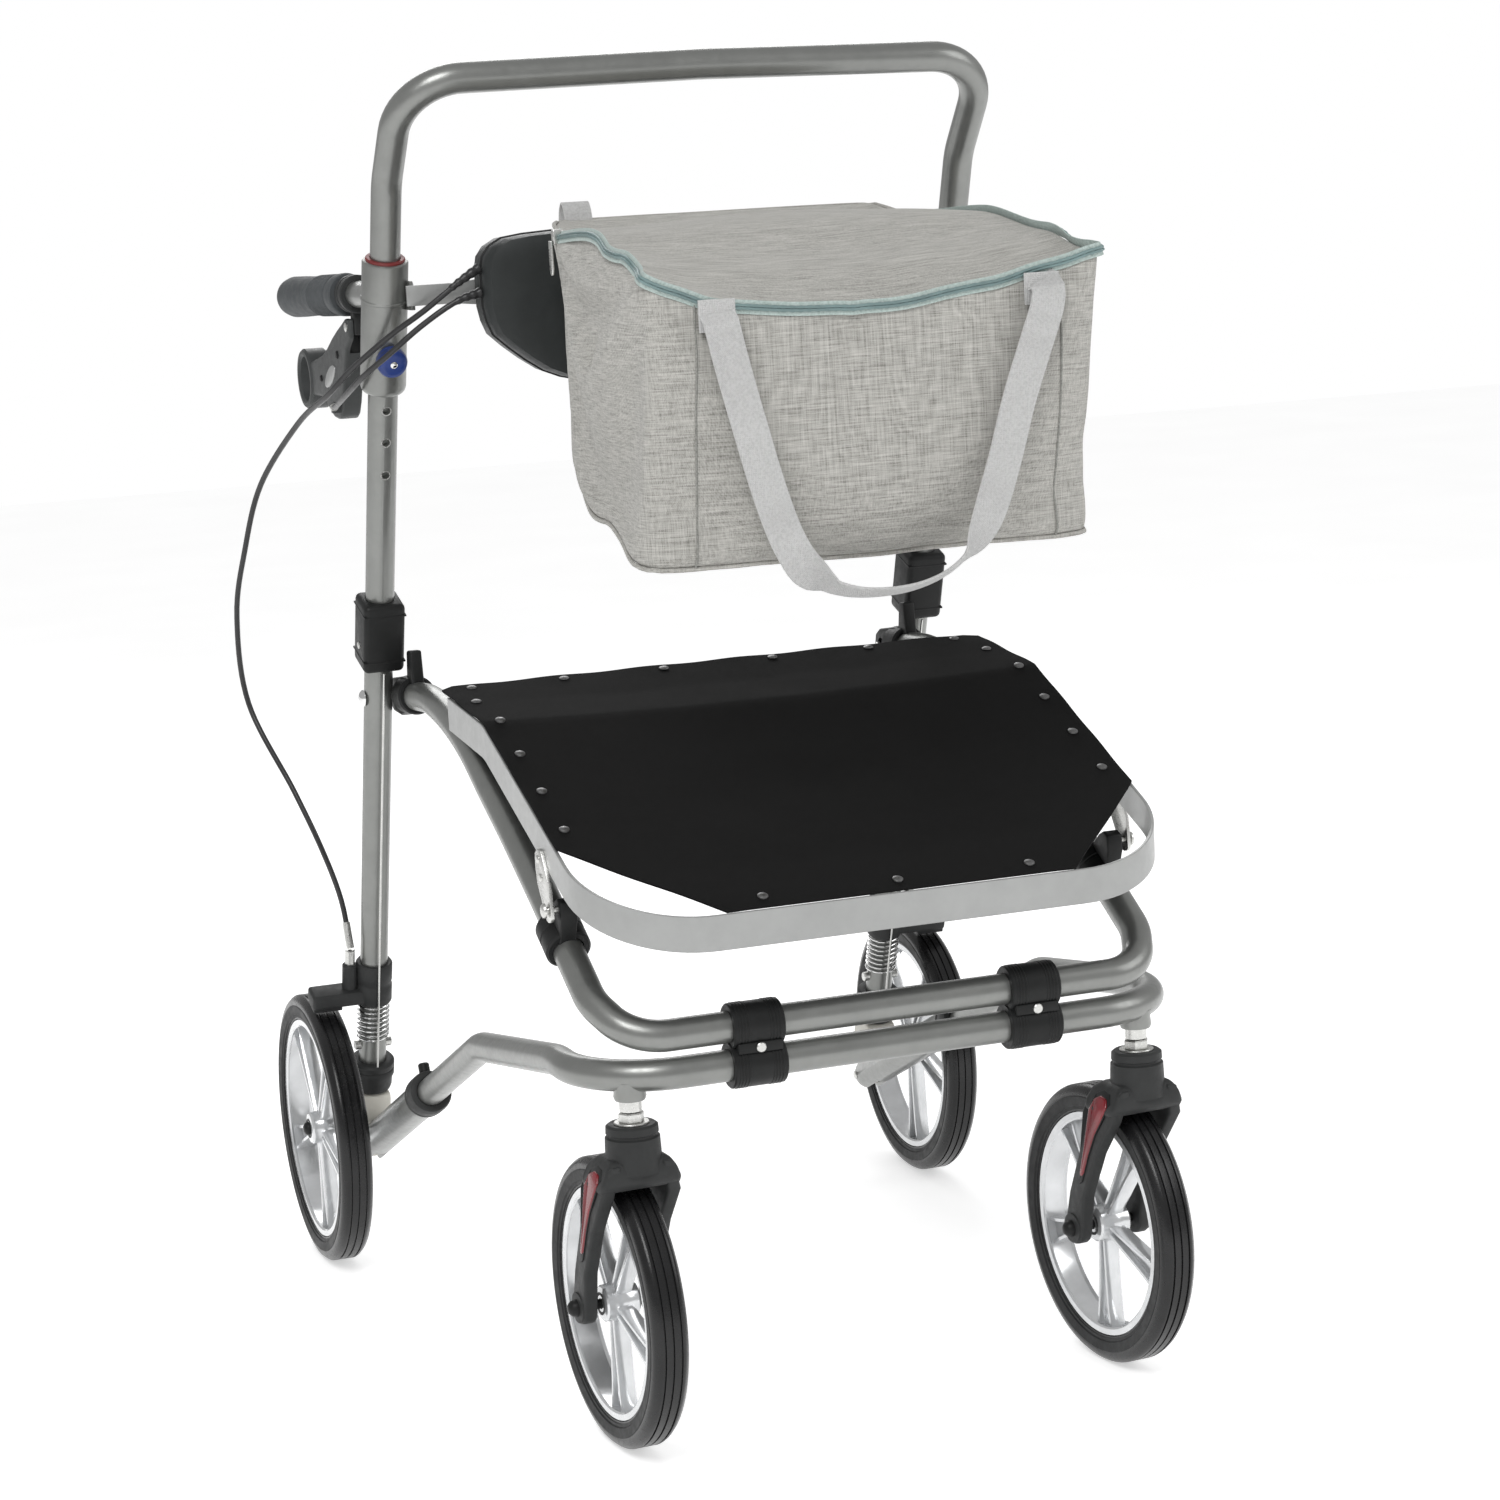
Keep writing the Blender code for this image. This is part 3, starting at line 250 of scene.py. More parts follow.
ZIP_TAPE = woven("zip_tape", (0.33, 0.41, 0.385), (0.47, 0.55, 0.525), 0.0009, 0.0001, 0.2)
ZIP_COIL = finish("zip_coil", (0.15, 0.22, 0.22), 0.4, 0.0, 900.0, 0.00004, 0.2)
SEAM_THREAD = woven("seam_thread", (0.16, 0.16, 0.145), (0.3, 0.3, 0.28), 0.0008, 0.0001, 0.1)


# ---- mesh helpers ----
def new_object(name, mesh, mat):
    obj = bpy.data.objects.new(name, mesh)
    bpy.context.scene.collection.objects.link(obj)
    if mat is not None:
        mesh.materials.append(mat)
    return obj


def from_lists(name, verts, faces, mat=None):
    """A mesh object from points in mm; smooth, but sharp where faces turn by more than 35 degrees."""
    mesh = bpy.data.meshes.new(name)
    mesh.from_pydata([Vector(v) * M for v in verts], [], faces)
    bm = bmesh.new()
    bm.from_mesh(mesh)
    bmesh.ops.recalc_face_normals(bm, faces=bm.faces)
    bm.to_mesh(mesh)
    bm.free()
    return shaded(new_object(name, mesh, mat))


def shaded(obj, angle=35):
    obj.data.shade_smooth()
    obj.data.set_sharp_from_angle(angle=radians(angle))
    return obj

def mirrored(half):
    """A row of points followed by its mirror image in the second number."""
    return half + [(a, -b) for a, b in reversed(half)]


def round_points(count, a=1.0, b=1.0):
    return [(a * cos(2 * pi * k / count), b * sin(2 * pi * k / count)) for k in range(count)]


def turned(name, profile, mat=None, steps=48, at=(0, 0, 0), turn=None):
    """A (radius, height) profile spun about local Z; a profile that leaves the axis is a closed ring."""
    verts, faces, rings = [], [], []
    for r, h in profile:
        if abs(r) < 1e-6:
            rings.append([len(verts)] * steps)
            verts.append((0, 0, h))
        else:
            rings.append([len(verts) + i for i in range(steps)])
            verts += [(x, y, h) for x, y in round_points(steps, r, r)]
    closed = abs(profile[0][0]) > 1e-6
    pairs = list(zip(rings, rings[1:])) + ([(rings[-1], rings[0])] if closed else [])
    for a, b in pairs:
        for i in range(steps):
            j = (i + 1) % steps
            quad = []
            for k in (a[i], a[j], b[j], b[i]):
                if k not in quad:
                    quad.append(k)
            if len(quad) > 2:
                faces.append(quad)
    return moved(from_lists(name, verts, faces, mat), at, turn)


def moved(obj, at=(0, 0, 0), turn=None):
    """Turn a mesh, then shift it by mm; its object stays at the origin."""
    obj.data.transform(Matrix.Translation(Vector(at) * M) @ (turn or Matrix.Identity(3)).to_4x4())
    return obj


def run_at(path, i):
    """Direction of a path at its point i."""
    return (path[min(i + 1, len(path) - 1)] - path[max(i - 1, 0)]).normalized()


def frames_along(path, first=None):
    """Tangents and two side directions along a path, carried without twist."""
    out, side = [], Vector(first) if first else None
    for i in range(len(path)):
        run = run_at(path, i)
        if side is None:
            side = run.orthogonal()
        side = (side - run * side.dot(run)).normalized()
        out.append((run, side, run.cross(side)))
    return out


def lofted(rows, count, closed=False):
    """Faces of a skin over rows of count points each, with its two ends capped unless it is closed."""
    faces = []
    for i in range(rows if closed else rows - 1):
        a, b = i * count, ((i + 1) % rows) * count
        faces += [(a + k, a + (k + 1) % count, b + (k + 1) % count, b + k) for k in range(count)]
    if not closed:
        faces += [tuple(range(count)), tuple(range((rows - 1) * count, rows * count))]
    return faces


def tube(name, path, radius, mat=None, sides=28, radii=None, section=None, first=None, closed=False):
    """A round tube, or one of another section [(a, b), ...], along points in mm, with closed ends."""
    path = [Vector(p) for p in path]
    section = section or round_points(sides)
    verts = []
    for i, (p, (_, u, v)) in enumerate(zip(path, frames_along(path, first))):
        r = radii[i] if radii else radius
        verts += [p + (u * a + v * b) * r for a, b in section]
    return from_lists(name, verts, lofted(len(path), len(section), closed), mat)


def prism(name, points, thickness, mat=None, bevel=0.8, at=(0, 0, 0), turn=None, segments=2):
    """A flat closed outline in local XY, thickened to both sides, its edges rounded."""
    n, h = len(points), thickness / 2
    verts = [(x, y, -h) for x, y in points] + [(x, y, h) for x, y in points]
    faces = [tuple(range(n)), tuple(range(n, 2 * n))]
    faces += [(i, (i + 1) % n, n + (i + 1) % n, n + i) for i in range(n)]
    return moved(eased(from_lists(name, verts, faces, mat), bevel, segments), at, turn)


def block(name, size, mat=None, bevel=1.0, at=(0, 0, 0), turn=None, segments=3):
    x, y = size[0] / 2, size[1] / 2
    return prism(name, [(-x, -y), (x, -y), (x, y), (-x, y)], size[2], mat, bevel, at, turn, segments)


LAY_X, LAY_Y = Matrix.Rotation(pi / 2, 3, "Y"), Matrix.Rotation(-pi / 2, 3, "X")
LAY = {"X": LAY_X, "Y": LAY_Y, "Z": Matrix.Identity(3)}
OUT = {side: Matrix.Rotation(side * pi / 2, 3, "Y") for side in (-1, 1)}


def rod(name, radius, length, mat=None, axis="Z", at=(0, 0, 0), turn=None, sides=32, ease=0.6):
    """A cylinder centred on its place with eased ends."""
    h = length / 2
    body = turned(name, mirrored([(0, h), (radius - ease, h), (radius, h - ease)]), mat, sides)
    return moved(body, at, (turn or Matrix.Identity(3)) @ LAY[axis])


def drill(radius, length, axis, at, turn=None, sides=48):
    """A sharp-edged rod to cut a round hole with."""
    return rod("drill", radius, length, None, axis, at, turn, sides, 0.1)


def baked(obj):
    """Apply the object's modifiers."""
    shape = obj.evaluated_get(bpy.context.evaluated_depsgraph_get())
    mesh = bpy.data.meshes.new_from_object(shape)
    old = obj.data
    obj.modifiers.clear()
    obj.data = mesh
    bpy.data.meshes.remove(old)
    return obj


def eased(obj, width, segments=2, angle=30):
    """Round an object's sharp edges."""
    if width:
        mod = obj.modifiers.new("ease", "BEVEL")
        mod.width, mod.segments, mod.limit_method = width * M, segments, "ANGLE"
        mod.angle_limit = radians(angle)
        baked(obj)
    return shaded(obj)


def cut(obj, *tools):
    for tool in tools:
        mod = obj.modifiers.new("cut", "BOOLEAN")
        mod.operation, mod.object, mod.solver = "DIFFERENCE", tool, "EXACT"
    baked(obj)
    for tool in tools:
        bpy.data.objects.remove(tool, do_unlink=True)
    return shaded(obj)


def joined(name, *parts):
    """One object from several, each with its own materials."""
    bm = bmesh.new()
    mesh = bpy.data.meshes.new(name)
    mats = []
    for part in parts:
        first = len(bm.faces)
        bm.from_mesh(part.data)
        bm.faces.ensure_lookup_table()
        mat = part.data.materials[0] if part.data.materials else None
        if mat not in mats:
            mats.append(mat)
        for face in bm.faces[first:]:
            face.material_index = mats.index(mat)
    bm.to_mesh(mesh)
    bm.free()
    for part in parts:
        bpy.data.objects.remove(part, do_unlink=True)
    obj = new_object(name, mesh, None)
    for mat in mats:
        mesh.materials.append(mat)
    return shaded(obj)


def fit(obj, body, slot, *nodes):
    """Put a finished piece on its body and hide the CAD nodes it stands for; its slot is not used."""
    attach(obj, body)
    if nodes:
        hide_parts(*nodes)
    return obj


def fit_fine(node, body, slot, *parts, at=(0, 0, 0), turn=None):
    """Join parts into the fine piece that stands for one CAD node."""
    return fit(moved(joined(node + "_fine", *parts), at, turn), body, slot, node)


def smooth_path(points, step):
    """Points every step mm or so along a Catmull-Rom curve."""
    pts = [Vector(p) for p in points]
    pts = [2 * pts[0] - pts[1]] + pts + [2 * pts[-1] - pts[-2]]
    out = []
    for a, b, c, d in zip(pts, pts[1:], pts[2:], pts[3:]):
        count = max(1, round((c - b).length / step))
        for i in range(count):
            t = i / count
            out.append(0.5 * (2 * b + (c - a) * t + (2 * a - 5 * b + 4 * c - d) * t ** 2 +
                (3 * b - a - 3 * c + d) * t ** 3))
    return out + [pts[-2]]


def bent_path(points, radii, steps=14):
    """Straight runs joined by circular bends."""
    pts = [Vector(p) for p in points]
    out = [pts[0]]
    for before, at, after, radius in zip(pts, pts[1:], pts[2:], radii):
        into, away = (at - before).normalized(), (after - at).normalized()
        turn = into.angle(away)
        if turn < 0.01:
            continue
        side = (away - into * into.dot(away)).normalized()
        start = at - into * radius * (sin(turn / 2) / cos(turn / 2))
        for i in range(steps + 1):
            a = turn * i / steps
            out.append(start + into * radius * sin(a) + side * radius * (1 - cos(a)))
    return out + [pts[-1]]


def half_to_loop(half):
    left = [Vector((-p[0], p[1], p[2])) for p in half]
    return left + [Vector(p) for p in reversed(half)][1 if abs(half[-1][0]) < 0.01 else 0:]


# ---- places shared with the CAD ----
TUBE_R = 12.7
REAR_R, FRONT_R, TYRE_W = 127, 118.5, 31
REAR_X = 302.7
KNUCKLE = (324.3, 100)
UPRIGHT_X = 257
LEAN = atan(0.356)
PIVOT = 478.7
BAR_Y, UPPER_BAR_Z, LOWER_BAR_Z = -392, 346.5, 316
LEG_X, CLIP_X = 234, 117.5
STRUT_DIR = atan2(186, 426)
STRUT_R, STRUT_BORE, STRUT_MOUTH, INNER_END = 16, 13.2, 268, 212
STEM_X, STEM_Y, TRAIL, FORK_TOP = 217, -379, 56, 278
CASTER_YAW = {"left": radians(3), "right": radians(5)}
SEAT_HINGE = (-303, 437)
LEVER_PIVOT = (141, 877)
LEAN_TURN = Matrix.Rotation(LEAN, 3, "X")
STRUT_TURN = Matrix.Rotation(pi / 2 - STRUT_DIR, 3, "X")
YZ_PLANE = Matrix(((0, 0, 1), (1, 0, 0), (0, 1, 0)))
XZ_PLANE = Matrix(((1, 0, 0), (0, 0, -1), (0, 1, 0)))


def on_upright(side, along, forward=0, inward=0):
    local = LEAN_TURN @ Vector((0, -forward, along))
    return Vector((side * (UPRIGHT_X - inward), KNUCKLE[0], KNUCKLE[1])) + local


def up(side, *place):
    return on_upright(side, *place), LEAN_TURN


def on_strut(side, along):
    return Vector((side * UPRIGHT_X, KNUCKLE[0] - along * cos(STRUT_DIR),
        KNUCKLE[1] + along * sin(STRUT_DIR)))


def flip(p, side):
    return Vector((side * p[0], p[1], p[2]))


# ---- tubes ----
HOLES_ALONG = (697, 727, 756)
holes = [(side, along) for side in SIDES.values() for along in HOLES_ALONG]
half = bent_path([on_upright(1, 66), on_upright(1, 690), on_upright(1, 770), (UPRIGHT_X, 4.8, 997.5),
    (UPRIGHT_X, -62.5, 1078), (0, -62.5, 1081)], [60, 60, 60, 52])
hoop = tube("hoop_tube", half_to_loop(half), TUBE_R, FRAME_PAINT, 40)
cut(hoop, *[drill(3.4, 12, "Y", on_upright(*hole, TUBE_R), LEAN_TURN, 20) for hole in holes])
rims = [turned("rim", [(3.3, 0.3), (4.1, 0.35), (4.3, 0), (3.3, -0.3)], ZINC, 24,
    on_upright(*hole, TUBE_R - 0.35), LEAN_TURN @ Matrix.Rotation(pi / 2, 3, "X")) for hole in holes]
pins = [rod("pin", 4.5, 35, ZINC, "X", on_upright(side, 115)) for side in SIDES.values()]
fit(joined("hoop_and_uprights", hoop, *rims, *pins), "uprights", "frame_paint", "handle_hoop")

half = bent_path([on_strut(1, INNER_END), (UPRIGHT_X, -102, 286), (250, -300, LOWER_BAR_Z),
    (250, BAR_Y, LOWER_BAR_Z), (0, BAR_Y, LOWER_BAR_Z)], [90, 120, 72])
fit(tube("lower_frame", half_to_loop(half), TUBE_R, FRAME_PAINT, 40), "front_frame", "frame_paint",
    "lower_frame_tube")

LEG_LINE = [(136, 553), (100, 556), (60, 557), (3, 548), (-54, 530), (-107, 503), (-160, 477), (-222, 444),
    (-262, 422), (-303, 397)]
leg = smooth_path([(LEG_X, y, z) for y, z in LEG_LINE], 16)
half = leg[:-1] + bent_path([leg[-1], (LEG_X, -350, 370), (LEG_X - 18, BAR_Y, UPPER_BAR_Z),
    (0, BAR_Y, UPPER_BAR_Z)], [60, 42])
fit(tube("upper_frame", half_to_loop(half), TUBE_R, FRAME_PAINT, 40), "seat_frame", "frame_paint",
    "upper_frame_tube")


# ---- wheels ----
def wheel(word, kind, radius, at, turn):
    """Tyre with three grooves and a raised sidewall ring; hub with a bright rim and five double spokes."""
    half_w, steps, body = TYRE_W / 2, 96, f"{kind}_wheel_{word}"
    shoulder = [(radius - 23, half_w - 3), (radius - 9, half_w - 0.2), (radius - 4, half_w - 1.6),
        (radius - 1.2, half_w - 4.6)]
    groove = mirrored([(0.25, 2.2), (0.2, 0.9), (1.5, 0.5)])
    tread = shoulder + [(radius - d, g + h) for g in (6.9, 0, -6.9) for d, h in groove]
    tread += [(r, -h) for r, h in reversed(shoulder)]
    wall = [(22, 3.4), (21.4, 1.8), (19, 1.9), (18, 0.9), (10.5, -0.15), (9.3, 0.6), (12, 3)]
    parts = [turned("rubber", tread, TYRE_RUBBER, steps)]
    parts += [turned("wall", [(radius - d, s * (half_w - e)) for d, e in wall], TYRE_SIDE, steps) for s in
        (1, -1)]
    fit_fine(f"{kind}_tyre_{word}", body, "tyre_rubber", *parts, at=at, turn=turn)
    rim = radius - 23.3
    flange = mirrored([(rim - 7, 11), (rim - 5.5, 12.2), (rim - 0.6, 12.2), (rim, 11.4)])
    boss = mirrored([(4.4, 14.9), (10, 14.9), (13.6, 14.2), (15, 12.6), (15.6, 6), (16.4, 4)])
    parts = [turned("rim", flange + [(rim - 5, -9), (rim - 4.4, 0), (rim - 5, 9)], HUB_PLASTIC, steps),
        turned("boss", boss, HUB_PLASTIC, 40)]
    parts += [turned("cup", [(6.8, 15 * s), (9.2, 15.4 * s), (9.6, 14 * s), (6.8, 14 * s)], DARK_PLASTIC,
        32) for s in (1, -1)]
    flat = [(max(-2, min(2, a)), max(-6.8, min(6.8, b))) for a, b in round_points(12, 2.6, 8)]
    web = mirrored([(15, -2.6), (rim * 0.42, -4.4), (rim * 0.75, -6.6), (rim - 4.6, -9.6)])
    for i in range(5):
        spin = Matrix.Rotation(2 * pi * i / 5, 3, "Z")
        for hand in (-1, 1):
            line = [(13, hand * 3.2, 0), (rim * 0.42, hand * 4.8, 0), (rim * 0.75, hand * 7.2, 0),
                (rim - 4.5, hand * 10.5, 0)]
            spoke = tube("spoke", smooth_path(line, 7), 1, HUB_PLASTIC, section=flat, first=(0, 1, 0))
            parts.append(moved(spoke, turn=spin))
        parts.append(moved(prism("web", web, 4, HUB_PLASTIC, 0.4), turn=spin))
    fit_fine(f"{kind}_hub_{word}", body, "hub_plastic", *parts, at=at, turn=turn)


def shouldered(obj):
    """Draw a fork piece in towards the neck above the wheel, where its shoulders slope."""
    for v in obj.data.vertices:
        t = min(1, max(0, (v.co.z / M - 224) / 28))
        v.co.x *= 1 - 0.3 * t * t
    return obj


def caster(word, side):
    """Fork with capped neck, sloping shoulders, tapered legs and reflectors; its axle and wheel."""
    yaw, body = Matrix.Rotation(CASTER_YAW[word], 3, "Z"), f"caster_{word}"
    foot, hub = Vector((side * STEM_X, STEM_Y, 0)), Vector((0, TRAIL, FRONT_R))
    neck = turned("neck", [(6.3, FORK_TOP), (18.5, FORK_TOP), (20.6, FORK_TOP - 1.6), (20.9, FORK_TOP - 7),
        (19.6, FORK_TOP - 8), (19.6, FORK_TOP - 9.6), (21.6, FORK_TOP - 10.6), (22, 258), (22.4, 240),
        (8, 240), (6.3, 252)], DARK_PLASTIC, 48)
    shoulder = [(-17.5, 232), (-18.5, 244), (-14, 252.5), (16, 252.5), (27, 247), (31, 236), (30, 226),
        (-10, 226)]
    crown = prism("crown", shoulder, 69.4, DARK_PLASTIC, 7, (0, 0, 0), YZ_PLANE, 4)
    cut(crown, rod("room", FRONT_R + 5.5, 43.6, None, "X", hub, None, 96, 1))
    line = [(-19, 249), (27, 246), (34, 225), (41, 190), (60, 150)]
    line += [(TRAIL + 14 * cos(a), FRONT_R + 14 * sin(a)) for a in [0.7 - 0.39 * k for k in range(11)]]
    line += [(36, 150), (14, 190), (-12, 222)]
    parts = [neck, crown]
    for hand in (-1, 1):
        parts.append(prism("leg", line, 11.6, DARK_PLASTIC, 2.4, (hand * 28, 0, 0), YZ_PLANE, 3))
        parts.append(turned("cup", [(6.9, 1.6), (12.4, 1.2), (13, -1), (6.9, -1)], DARK_PLASTIC, 36,
            (hand * 33.8, TRAIL, FRONT_R), OUT[hand]))
    for part in parts[1:]:
        shouldered(part)
    fit_fine(f"caster_fork_{word}", body, "dark_plastic", *parts, at=foot, turn=yaw)
    drop = [(-9, 238), (-4, 245), (6, 247), (15, 243), (21, 232), (26, 214), (33, 190), (42, 164),
        (41, 160), (36, 163), (25, 186), (12, 208), (-1, 224)]
    middle = Vector((14, 214))
    small = [(middle + (Vector(p) - middle) * 0.86)[:] for p in drop]
    for hand in (-1, 1):
        back = prism("bezel", drop, 2, BLACK_PLASTIC, 0.6, (hand * 34, 0, 0), YZ_PLANE)
        lamp = prism("lamp", small, 3.4, REFLECTOR, 1.2, (hand * 34.4, 0, 0), YZ_PLANE, 3)
        ring = shouldered(joined(f"fork_reflector_{word}_{'in' if hand * side < 0 else 'out'}", back, lamp))
        fit(moved(ring, foot, yaw), body, "dark_plastic")
    axle = turned("axle", mirrored([(0, 43), (3.5, 42.4), (6.2, 39.8), (7, 36.5), (7, 34.3), (4, 34.3)]),
        BLACK_PLASTIC, 36, hub, LAY_X)
    fit(moved(axle, foot, yaw), body, "black_plastic", f"caster_axle_{word}")
    wheel(word, "front", FRONT_R, foot + yaw @ hub, yaw @ LAY_X)
    low, top = LOWER_BAR_Z - TUBE_R + 2.5, FORK_TOP
    parts = [turned("stem", [(0, low), (11, low), (10.6, low - 6), (8.8, low - 8), (8.8, top + 10),
        (6, top + 9), (6, top - 22), (0, top - 22)], ZINC, 36),
        rod("nut", 10.5, 8, ZINC, at=(0, 0, top + 5), sides=6, ease=1),
        turned("washer", [(6.1, 1.2), (13.5, 1.2), (14, 0.6), (14, 0), (6.1, 0)], ZINC, 36,
        (0, 0, top + 0.2)), turned("flare", [(9, 0), (12, 0), (13, 3), (12.2, 9), (13.5, 15), (9, 15)],
        FRAME_PAINT, 36, (0, 0, low - 9))]
    fit_fine(f"caster_stem_{word}", "front_frame", "zinc", *parts, at=foot)


def rear_wheel(word, side):
    centre = on_upright(side, 28.7)
    inner, outer = UPRIGHT_X - 14.8, REAR_X + 15.3
    wheel(word, "rear", REAR_R, (side * REAR_X, centre.y, centre.z), LAY_X)
    axle = turned(f"rear_axle_{word}_fine", [(0, outer + 5), (3, outer + 4.8), (5.6, outer + 3),
        (6.5, outer + 0.8), (6.5, outer), (4, outer), (4, inner), (6.5, inner), (6.5, inner - 3.4),
        (5, inner - 4.8), (0, inner - 5)], BLACK_PLASTIC, 36, (0, centre.y, centre.z), OUT[side])
    fit(axle, "uprights", "black_plastic", f"rear_axle_{word}")


# ---- frame mouldings and metal ----
def clip(word, side):
    """The moulded coupler round both crossbars, ribbed round its ends."""
    def half_ring(z, width):
        half = width / 2
        prof = [(12.9, -half), (17.6, -half), (18.6, 1 - half)]
        for start in (3.2 - half, half - 12.8):
            for a in (start + k * 2.6 for k in range(4)):
                prof += [(18.6, a), (19, a + 0.4), (19, a + 1.4), (18.6, a + 1.8)]
            if start < 0:
                prof += [(18.7, 15 - half), (18.7, half - 15)]
        prof += [(18.6, half - 1), (17.6, half), (12.9, half)]
        return turned("ring", prof, BLACK_PLASTIC, 48, (x, BAR_Y, z), LAY_X)
    x, middle = side * CLIP_X, (UPPER_BAR_Z + LOWER_BAR_Z) / 2
    fit_fine(f"crossbar_clip_{word}", "front_frame", "black_plastic", half_ring(LOWER_BAR_Z, 44),
        half_ring(UPPER_BAR_Z, 42), block("web", (37, 34, UPPER_BAR_Z - LOWER_BAR_Z - 22), BLACK_PLASTIC,
        1.2, (x, BAR_Y, middle)), rod("screw", 4, 3, ZINC, "Y", (x, BAR_Y - 17.2, middle)))


def strut(word, side):
    open_end = STRUT_MOUTH - 26
    body = turned("strut", [(0, open_end), (STRUT_R - 0.6, open_end), (STRUT_R, open_end - 0.6),
        (STRUT_R, 4), (15.4, -2), (13.4, -8), (9, -13), (4, -14.7), (0, -15)], FRAME_PAINT, 56,
        on_strut(side, 0), STRUT_TURN)
    bore = drill(STRUT_BORE, STRUT_MOUTH, "Z", on_strut(side, 38 + STRUT_MOUTH / 2), STRUT_TURN)
    gap = block("gap", (13, 60, 76), None, 0, on_strut(side, -2), STRUT_TURN)
    hole = drill(4.3, 60, "X", on_strut(side, 0), None, 24)
    cut(body, bore, gap, hole)
    fit(eased(body, 0.5, 2, 50), "strut", "frame_paint", f"strut_tube_{word}")
    ring = turned("collar", [(STRUT_BORE, open_end + 0.3), (17.6, open_end + 0.3), (19.3, open_end + 2),
        (19.5, open_end + 6), (18.9, open_end + 7), (19.5, open_end + 8), (19.5, STRUT_MOUTH - 5),
        (18.4, STRUT_MOUTH - 1), (16.5, STRUT_MOUTH), (STRUT_BORE, STRUT_MOUTH)], DARK_PLASTIC, 56,
        on_strut(side, 0), STRUT_TURN)
    knob = rod("knob", 5, 12, BLACK_PLASTIC, "Y", on_strut(side, STRUT_MOUTH - 12) + STRUT_TURN @
        Vector((0, 22, 0)), STRUT_TURN, 28, 1.2)
    fit_fine(f"strut_collar_{word}", "strut", "dark_plastic", ring, knob)


def axle_block(word, side):
    foot, turn = on_upright(side, 0), LEAN_TURN @ YZ_PLANE
    body = prism("block", [(-15, 65.7), (-17, 60), (-17, 39), (17, 8), (18, 58), (15, 65.7)], 28.8,
        WHITE_PLASTIC, 2.4, foot, turn, 4)
    tongue = prism("tongue", [(-11, 4), (-8, -8), (0, -12), (8, -8), (12, 0), (12, 44), (-12, 44)], 11.4,
        WHITE_PLASTIC, 1, foot, turn)
    pin = rod("pin", 4, 34, ZINC, "X", foot, None, 28, 0.8)
    fit_fine(f"axle_block_{word}", "uprights", "white_plastic", body, tongue, pin)


def pivot_and_hook(word, side):
    """The dome bolt and the hook moulding on the rear end of the upper leg."""
    bolt = turned(f"pivot_bolt_{word}_fine", [(0, 4.5), (3, 4.3), (5.4, 3.2), (7, 1.4), (7.5, 0.3),
        (3.5, 0.3), (3.5, -48), (0, -48)], CHROME, 36, on_upright(side, PIVOT) + Vector((side * 13, 0, 0)),
        OUT[side])
    fit(bolt, "uprights", "zinc", f"pivot_bolt_{word}")
    y, z = on_upright(side, PIVOT).yz
    eye = prism("eye", [(14, -10), (16, 0), (13, 10), (4, 15), (-30, 20), (-46, 20), (-46, -8), (-20, -16),
        (4, -15)], 17, BLACK_PLASTIC, 2.5, (side * (LEG_X + 0.4), y, z), YZ_PLANE, 3)
    finger = prism("finger", [(-18, 14), (-38, 22), (-42, 44), (-54, 45), (-58, 10), (-30, 8)], 11,
        BLACK_PLASTIC, 2, (side * LEG_X, y, z), YZ_PLANE, 3)
    lie = Matrix.Rotation(radians(-4), 3, "X") @ LAY_Y
    socket, cap = (turned(name, prof, BLACK_PLASTIC, steps, (side * LEG_X, 128, 554.5), lie) for name, prof,
        steps in (("socket", mirrored([(12.9, -14), (15.5, -14), (17, -12)]), 48),
        ("cap", [(0, 14), (13, 14), (13, 12), (0, 12)], 40)))
    cut(eye, drill(7.2, 60, "X", (side * LEG_X, y, z), None, 32))
    fit_fine(f"seat_hook_{word}", "seat_frame", "black_plastic", eye, finger, socket, cap)


def seat_clamp(word, side):
    y, z = SEAT_HINGE
    ring = turned("ring", mirrored([(12.9, -16), (16.8, -16), (18.5, -14.4), (18.5, -2), (17.9, -1.4)]),
        BLACK_PLASTIC, 48, (side * LEG_X, -284, 410), Matrix.Rotation(pi / 2 + atan(0.58), 3, "X"))
    ear = prism("ear", [(-300, 402), (-312, 430), (-311, 443), (-303, 446), (-294, 442), (-270, 422),
        (-276, 404)], 14, BLACK_PLASTIC, 1.6, (side * (LEG_X + 2), 0, 0), YZ_PLANE, 3)
    pin = rod("pin", 3, 22, ZINC, "X", (side * 245, y, z), None, 28)
    head = turned("head", [(0, 1.8), (3.4, 1.6), (5.4, 0.6), (6, -0.6), (6, -1.5), (0, -1.5)], ZINC, 32,
        (side * 254.5, y, z), OUT[side])
    bolt = rod("bolt", 4, 3.4, ZINC, "Z", (side * LEG_X, -284, 428.6), Matrix.Rotation(0.53, 3, "X"), 6,
        0.5)
    fit_fine(f"seat_clamp_{word}", "seat_frame", "black_plastic", ring, ear, pin, head, bolt)


# ---- seat ----
RIM_X, RIM_HEIGHT = 246.5, 28
KINK_Y, KINK_Z, REAR_Y, FRONT_Y = -139, 562.5, -37, -428
REAR_SLOPE, FRONT_SLOPE = 0.103, 0.411
SHEET_REAR, SHEET_LONG, SHEET_ROWS, SHEET_COLUMNS = -10, 419, 52, 61


def rim_top(y):
    """Height of the rim's top edge, which kinks at KINK_Y."""
    return KINK_Z + (REAR_SLOPE if y > KINK_Y else FRONT_SLOPE) * (y - KINK_Y)


